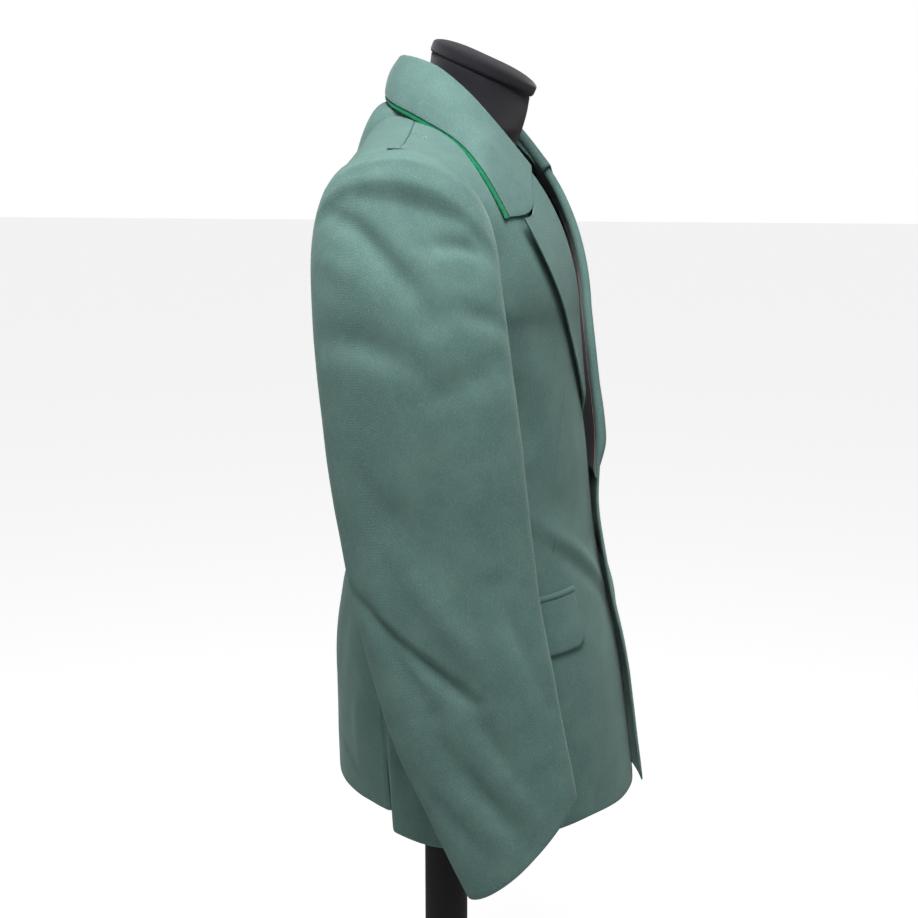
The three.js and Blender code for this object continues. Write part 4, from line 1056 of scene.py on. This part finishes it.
def collarPoint(w, at, side):
    # across the collar: up the stand, round a half circle at the fold, and down the fall, which bulges
    # by sin(pi q) and ends on the gorge
    crest, edge, seamLine = collarLine("fold", at), collarLine("edge", at), neckEdge(at)
    low = np.minimum(seamLine[..., 2], collar["highest"])
    beyond = np.where((at < collar["frontFrom"])[..., None], unit(crest - seamLine), frontOutward(low))
    clear = mix(collar["standClear"], -collar["standTuck"], smooth(*collar["tucked"], at))
    within = (facingDepth + collar["behind"]) * smooth(*collar["within"], at)
    foot = seamLine + beyond * clear[..., None] - frontNormal(0 * at, low, left) * within[..., None]
    up = unit(crest - (foot + edge) / 2)
    small = 0.01
    ahead = np.where(
        (at < 1 - 2 * small)[..., None], collarLine("fold", at + small) - crest,
        crest - collarLine("fold", at - small))
    outward = unit(np.cross(up, ahead))
    centre = crest - up * collarRadius
    standTop, fallTop = centre - outward * collarRadius, centre + outward * collarRadius
    stand = between(foot, standTop, np.clip(w / collar["stand"], 0, 1))
    turn = math.pi * (np.clip(w, collar["stand"], collar["folded"]) - collar["stand"])
    turn = turn / (collar["folded"] - collar["stand"])
    rolled = centre - outward * (collarRadius * np.cos(turn))[..., None]
    rolled = rolled + up * (collarRadius * np.sin(turn))[..., None]
    q = np.maximum(0, (w - collar["folded"]) / (1 - collar["folded"]))
    inside = np.minimum(q, 1)
    free = between(fallTop, edge, q) + outward * (collar["bulge"] * np.sin(math.pi * inside))[..., None]
    ended = gorgePoint(q) + (fallTop - gorgePoint(0 * q)) * ((1 - inside) ** 3)[..., None]
    fall = between(free, ended, smooth(*collar["ending"], at))
    over = np.where((w < collar["folded"])[..., None], rolled, fall)
    p = np.where((w < collar["stand"])[..., None], stand, over)
    p[..., 0] *= side
    return p


def collarPieces():
    stand, folded, carriedBy = collar["stand"], collar["folded"], ("cloth_front_right", "cloth_back_right")
    proud = collar["proud"] / collar["fall"] * (1 - folded)
    gap = cloth["layerGap"] / 2
    rows = np.linspace(-1, 1, collar["rows"])
    across = np.unique(np.concatenate([
        np.linspace(0, stand, 10), np.linspace(stand, folded, 14), np.linspace(folded, 1, 26),
        1 - np.array([0.006, 0.014])]))
    w, at = grid(across, rows)
    p = collarPoint(w, np.abs(at), np.where(at < 0, right, left))
    thick, roll = cloth["tunic"], (0, 0.4, 0.3, 0.3)
    piece = clothShell("cloth_collar_upper", p, thick, -1, gap + thick, roll, collar["rollWidth"])
    dress(piece, "collar_upper", "collar_cloth", collarCloth, p)

    w, at = grid(np.append(across, [1 + proud / 2, 1 + proud]), rows)
    p = collarPoint(w, np.abs(at), np.where(at < 0, right, left))
    p[..., 2] -= collar["endProud"] * smooth(collar["cornerFrom"], 1, np.abs(at)) * smooth(folded, 1, w)
    piece = clothShell("felt_collar_under", p, cloth["felt"], -1, -gap)
    dress(piece, "collar_under", "collar_felt", collarFelt, p)


addGorgeStation()
collarPieces()
print("collar made")


# Pockets, shoulder loops and eyelets

pocket = {
    "frontX": 100, "backX": 168, "topZ": 897, "flap": 55, "jet": 6, "corner": 14, "cloth": 1.8,
    "columns": 40, "rows": 34, "close": 0.008, "gap": 0.6, "flapOff": 0.7, "flapBow": 1.6, "bowEnd": 0.6,
    "jetOff": 0.2, "jetBow": 1.1,
}
loop = {
    "turn": [-4, 18], "inner": 3, "outer": -6, "slope": -0.1, "off": 0.5, "rise": 3.4,
    "end": 0.07, "cloth": 1.6,
}
eyelets = {"places": [(138, 3), (150, -8)], "hole": 1.7, "thread": 1.2, "rise": 0.7, "low": -0.4, "sides": 28}


def onPocket(share, z, rise, hand):
    # the point over the pocket, share of the way to its back end
    u = mix(columnAt(z, pocket["frontX"]), columnAt(z, pocket["backX"]), share)
    p = frontAtHeight(u, z, hand)
    return p + frontNormal(u, z, hand) * (rise + ripple(p, wavy["panel"]))[..., None]


def pocketPieces(side, hand):
    # the flap's lower corners are quarter circles: its length falls by r - sqrt(r^2 - x^2)
    half = pocket["cloth"] / 2
    share, down = panelGrid(pocket)
    fromEnd = np.minimum(share, 1 - share) * (pocket["backX"] - pocket["frontX"])
    inCorner = np.clip(pocket["corner"] - fromEnd, 0, pocket["corner"])
    corner = pocket["corner"] - np.sqrt(pocket["corner"] ** 2 - inCorner ** 2)
    z = pocket["topZ"] - pocket["gap"] - down * (pocket["flap"] - corner)
    bow = pocket["flapBow"] * np.sin(math.pi * pocket["bowEnd"] * down)
    p = onPocket(share, z, half + pocket["flapOff"] + bow, hand)
    piece = clothShell(f"cloth_pocket_flap_{side}", p, pocket["cloth"], -hand, half, (0.7, 0.7, 0, 0.7), 1.6)
    dress(piece, f"pocket_flap_{side}", "tunic_cloth", tunicCloth, p)

    share, up = grid(np.linspace(0, 1, 40), np.linspace(0, 1, 12))
    z = pocket["topZ"] + pocket["jet"] * up
    p = onPocket(share, z, half + pocket["jetOff"] + pocket["jetBow"] * np.sin(math.pi * up), hand)
    piece = clothShell(f"cloth_pocket_jet_{side}", p, pocket["cloth"], hand, half)
    dress(piece, f"pocket_jet_{side}", "tunic_cloth", tunicCloth)


def onShoulder(x, v, rise, hand):
    # a point over the front's shoulder, at a distance out and a share v of the front's height
    u = (x - shoulder["neck"][0]) / (shoulder["sleeve"][0] - shoulder["neck"][0])
    small = 1e-3
    at = frontOnHand(u, v, hand)
    across, up = frontOnHand(u + small, v, hand) - at, at - frontOnHand(u, v - small, hand)
    return at + unit(np.cross(across, up)) * hand * (np.asarray(rise) + ripple(at, wavy["panel"]))[..., None]


def shoulderPieces(side, hand):
    # the loop runs along the top of the armhole, with smooth ends that stand off the shoulder
    half = loop["cloth"] / 2
    across, along = grid(np.linspace(0, 1, 10), np.linspace(0, 1, 40))
    inward = mix(loop["inner"], loop["outer"], across)
    rise = half + loop["off"] + loop["rise"] * smooth(0, loop["end"], np.minimum(along, 1 - along))
    p = sleevePoint(0 * along, mix(*loop["turn"], along) * degree)
    p = place(p + point(-inward, 0 * inward, inward * loop["slope"] + rise), hand)
    piece = clothShell(f"cloth_shoulder_loop_{side}", p, loop["cloth"], -hand, half, (0.5, 0.5, 0, 0), 1.2)
    dress(piece, f"shoulder_loop_{side}", "tunic_cloth", collarCloth)


def eyeletPieces(side, hand):
    # a ring of thread and a dark disc in it that paints the shade of the eyelet's hole, both turned about
    # the cloth's normal: centre + radius (cos, sin) in the cloth's plane + height along the normal
    v = np.linspace(0.85, 1, 200)
    turn = np.linspace(0, 2 * math.pi, eyelets["sides"], endpoint=False)[None, :, None]
    hole, thread, rise, low = eyelets["hole"], eyelets["thread"], eyelets["rise"], eyelets["low"]
    profiles = {
        "ring": ([hole + thread, hole + thread, hole + thread * 0.6, hole + thread * 0.3, hole, hole],
                 [low, rise * 0.4, rise, rise, rise * 0.4, low], "tunic_cloth", eyeletThread),
        # the hole is a black disc of painted shade, standing where the eyelet's hole would be dark
        "hole": ([hole + 0.1, hole + 0.1], [low, 0.2], "stand_black", standBlack),
    }
    for number, (x, y) in enumerate(eyelets["places"], 1):
        at = np.interp(y, onShoulder(x, v, 0, hand)[:, 1], v)
        centre = onShoulder(x, at, 0, hand)
        normal = onShoulder(x, at, 1, hand) - centre
        sideways = unit(np.cross(normal, [0, 1, 0]))
        plane = np.cos(turn) * sideways + np.sin(turn) * np.cross(normal, sideways)
        for name, (radius, height, slot, material) in profiles.items():
            radius, height = np.array(radius)[:, None, None], np.array(height)[:, None, None]
            piece = closedTube(f"eyelet_{name}_{side}_{number}", centre + radius * plane + height * normal)
            dress(piece, None, slot, material)


for side, hand in hands.items():
    pocketPieces(side, hand)
    shoulderPieces(side, hand)
    eyeletPieces(side, hand)
print("pockets and shoulder pieces made")


# Dress form

form = {
    "ring": list(range(16)),
    "z": [700, 706, 790, 880, 970, 1060, 1150, 1220, 1270, 1310, 1334, 1350, 1362, 1378, 1402, 1426],
    "half": [148, 156, 168, 158, 142, 150, 166, 176, 180, 180, 166, 128, 96, 70, 58, 55],
    "front": [-148, -156, -156, -138, -124, -122, -120, -112, -98, -84, -76, -76, -78, -82, -87, -90],
    "back": [92, 98, 104, 93, 78, 76, 82, 84, 80, 72, 62, 50, 40, 28, 18, 13],
    "middle": [-30, -30, -30, -28, -26, -24, -22, -14, -4, 0, 0, -4, -14, -28, -35, -38],
    "power": [2.2, 2.2, 2.2, 2.2, 2.2, 2.2, 2.2, 2.2, 2.1, 1.9, 1.6, 1.5, 1.6, 2, 2, 2],
    "tilt": [0, 0, 0, 0, 0, 0, 0, 0, 0, 0, 0, 0, 0.05, 0.15, 0.3, 0.45],
    "sides": 128, "rows": 150,
}
neckCap = {"rim": 2.5, "rise": 16, "edge": 5, "foot": 0.35, "top": 40, "steps": 12}
stand = {"pole": 25, "footTop": 26, "foot": 190, "thick": 14, "edge": 4, "hub": 45, "sides": 128}


def formRings(ring, grow, rise):
    # rounded sections, tilted forward: y = middle - r cos, z = own height + tilt (y - middle) + rise
    angle = np.linspace(0, 2 * math.pi, form["sides"], endpoint=False)[None, :]
    ring, grow, rise = (np.atleast_1d(value)[:, None] for value in (ring, grow, rise))
    z, half, front, back, middle, power, tilt = (
        read(form, "ring", name, ring) for name in ("z", "half", "front", "back", "middle", "power", "tilt"))
    depth = np.where(np.cos(angle) > 0, middle - front, back - middle)
    radius = roundRadius(angle, half + grow, depth + grow, power)
    y = middle - radius * np.cos(angle)
    tip = np.hypot(1, tilt)
    return point(radius * np.sin(angle), y - rise * tilt / tip, z + tilt * (y - middle) + rise / tip)


def formPieces():
    ring = np.linspace(0, form["ring"][-1], form["rows"])
    torso = closedTube("form_body", formRings(ring, 0 * ring, 0 * ring))
    dress(torso, "form_torso", "form_cover", formCover)
    last = float(form["ring"][-1])
    turn = np.linspace(0, math.pi / 2, neckCap["steps"])
    edge, domed = neckCap["edge"], neckCap["rise"] - neckCap["edge"]
    grow = np.concatenate([[-edge], -edge + edge * np.sin(turn), neckCap["top"] * (np.cos(turn) - 1)])
    rise = np.concatenate([[neckCap["foot"]], edge * (1 - np.cos(turn)), domed + 2 * edge * np.sin(turn)])
    cap = closedTube("form_cap", formRings(np.full(len(grow), last), neckCap["rim"] + grow, rise))
    dress(cap, "form_neck_cap", "form_cover", formCover)


def lathed(name, radii, heights, material, node):
    # a profile turned about the upright axis
    angle = np.linspace(0, 2 * math.pi, stand["sides"], endpoint=False)[None, :]
    radius, z = np.array(radii, float)[:, None], np.array(heights, float)[:, None]
    piece = closedTube(name, point(radius * np.cos(angle), radius * np.sin(angle), z + 0 * angle))
    dress(piece, node, "stand_black", material)


def rounded(radius, z, size, fromTurn, toTurn, count=7):
    # an arc of a profile about (radius, z)
    turn = np.linspace(fromTurn, toTurn, count) * degree
    return list(radius + size * np.cos(turn)), list(z + size * np.sin(turn))


def standPieces():
    gap, edge = cloth["layerGap"], stand["edge"]
    poleLow, poleHigh = stand["footTop"] + gap, form["z"][0] - gap
    lathed("stand_pole", [stand["pole"] - 1, stand["pole"], stand["pole"], stand["pole"] - 1],
           [poleLow, poleLow + 1, poleHigh - 1, poleHigh], standBlack, "form_pole")
    rim, rimZ = rounded(stand["foot"] - edge, stand["thick"] - edge, edge, 0, 90)
    hub, hubZ = rounded(stand["hub"] + edge, stand["thick"] + edge, edge, 270, 180)
    top, topZ = rounded(stand["hub"] - 2, stand["footTop"] - 2, 2, 0, 90)
    lathed("stand_foot", [stand["foot"] - 1, stand["foot"]] + rim + hub + top,
           [0, 1] + rimZ + hubZ + topZ, standBlack, "form_foot")


formPieces()
standPieces()
print("dress form and stand made")


# Floor, light and camera

camera = {
    "away": 1570, "yaw": 10, "pitch": 11.8, "height": 1340, "aside": 15,
    "focal": 1440, "across": 918, "film": 36,
}
lampsAim = (0, 0, 1.05)
lights = [
    {"name": "key", "at": (-0.95, -0.1, 2.75), "size": 0.9, "power": 60},
    {"name": "front", "at": (-0.5, -1.6, 2.4), "size": 0.9, "power": 7},
    {"name": "back", "at": (-1.1, 1.7, 1.9), "size": 1.0, "power": 7},
]
room = {
    "sky": 0.15, "wide": 30, "floor": 0.45, "floorLit": 0.12, "floorSeen": 0.82, "rough": 0.9, "shine": 0.1,
}


def grey(level):
    return level, level, level, 1


def makeCamera():
    # the camera looks along (cos yaw cos pitch, sin yaw cos pitch, -sin pitch), from away behind that
    yaw, pitch = camera["yaw"] * degree, camera["pitch"] * degree
    look = np.array([math.cos(yaw) * math.cos(pitch), math.sin(yaw) * math.cos(pitch), -math.sin(pitch)])
    aside = np.array([math.sin(yaw), -math.cos(yaw), 0])
    up = np.cross(aside, look)
    at = -camera["away"] * np.array([math.cos(yaw), math.sin(yaw), 0]) + aside * camera["aside"]
    at[2] = camera["height"]
    data = bpy.data.cameras.new("camera")
    data.lens = camera["focal"] * camera["film"] / camera["across"]
    data.sensor_width = camera["film"]
    eye = bpy.data.objects.new("camera", data)
    bpy.context.scene.collection.objects.link(eye)
    rows = [[aside[i], up[i], -look[i], at[i] * mm] for i in range(3)]
    eye.matrix_world = mathutils.Matrix(rows + [[0, 0, 0, 1]])
    bpy.context.scene.camera = eye


def makeLight(name, at, size, power):
    # a square lamp that faces the middle of the tunic
    data = bpy.data.lights.new(name, "AREA")
    data.size = size
    data.energy = power
    lamp = bpy.data.objects.new(name, data)
    lamp.location = at
    away = np.array(at) - np.array(lampsAim)
    yaw = math.atan2(away[1], away[0])
    lamp.rotation_euler = (0, math.acos(away[2] / np.linalg.norm(away)), yaw)
    lamp.visible_camera = False
    bpy.context.scene.collection.objects.link(lamp)


def makeRoom():
    # a wide pale floor under an even white sky
    world = bpy.data.worlds.new("room")
    world.use_nodes = True
    tree = world.node_tree
    light = tree.nodes["Background"]
    light.inputs["Color"].default_value = grey(1)
    light.inputs["Strength"].default_value = room["sky"]
    backdrop = tree.nodes.new("ShaderNodeBackground")
    backdrop.inputs["Color"].default_value = grey(1)
    choice = tree.nodes.new("ShaderNodeMixShader")
    rays = tree.nodes.new("ShaderNodeLightPath")
    tree.links.new(rays.outputs["Is Camera Ray"], choice.inputs[0])
    tree.links.new(light.outputs[0], choice.inputs[1])
    tree.links.new(backdrop.outputs[0], choice.inputs[2])
    tree.links.new(choice.outputs[0], tree.nodes["World Output"].inputs["Surface"])
    bpy.context.scene.world = world
    wide = room["wide"]
    mesh = bpy.data.meshes.new("floor")
    corners = [(-wide, -wide, 0), (wide, -wide, 0), (wide, wide, 0), (-wide, wide, 0)]
    mesh.from_pydata(corners, [], [(0, 1, 2, 3)])
    floor = bpy.data.objects.new("floor", mesh)
    bpy.context.scene.collection.objects.link(floor)
    paint = Shader("pale floor", Roughness=room["rough"], Specular_IOR_Level=room["shine"])
    paint.feed("Base Color", grey(room["floor"]))
    paint.surface.inputs["Emission Strength"].default_value = 1.0
    seen = paint.node("ShaderNodeLightPath", out="Is Camera Ray")
    paint.feed("Emission Color", paint.blend(seen, grey(room["floorLit"]), grey(room["floorSeen"])))
    mesh.materials.append(paint.material)


bpy.context.scene.view_settings.view_transform = "Standard"
makeCamera()
makeRoom()
for lamp in lights:
    makeLight(lamp["name"], lamp["at"], lamp["size"], lamp["power"])
print("room made")
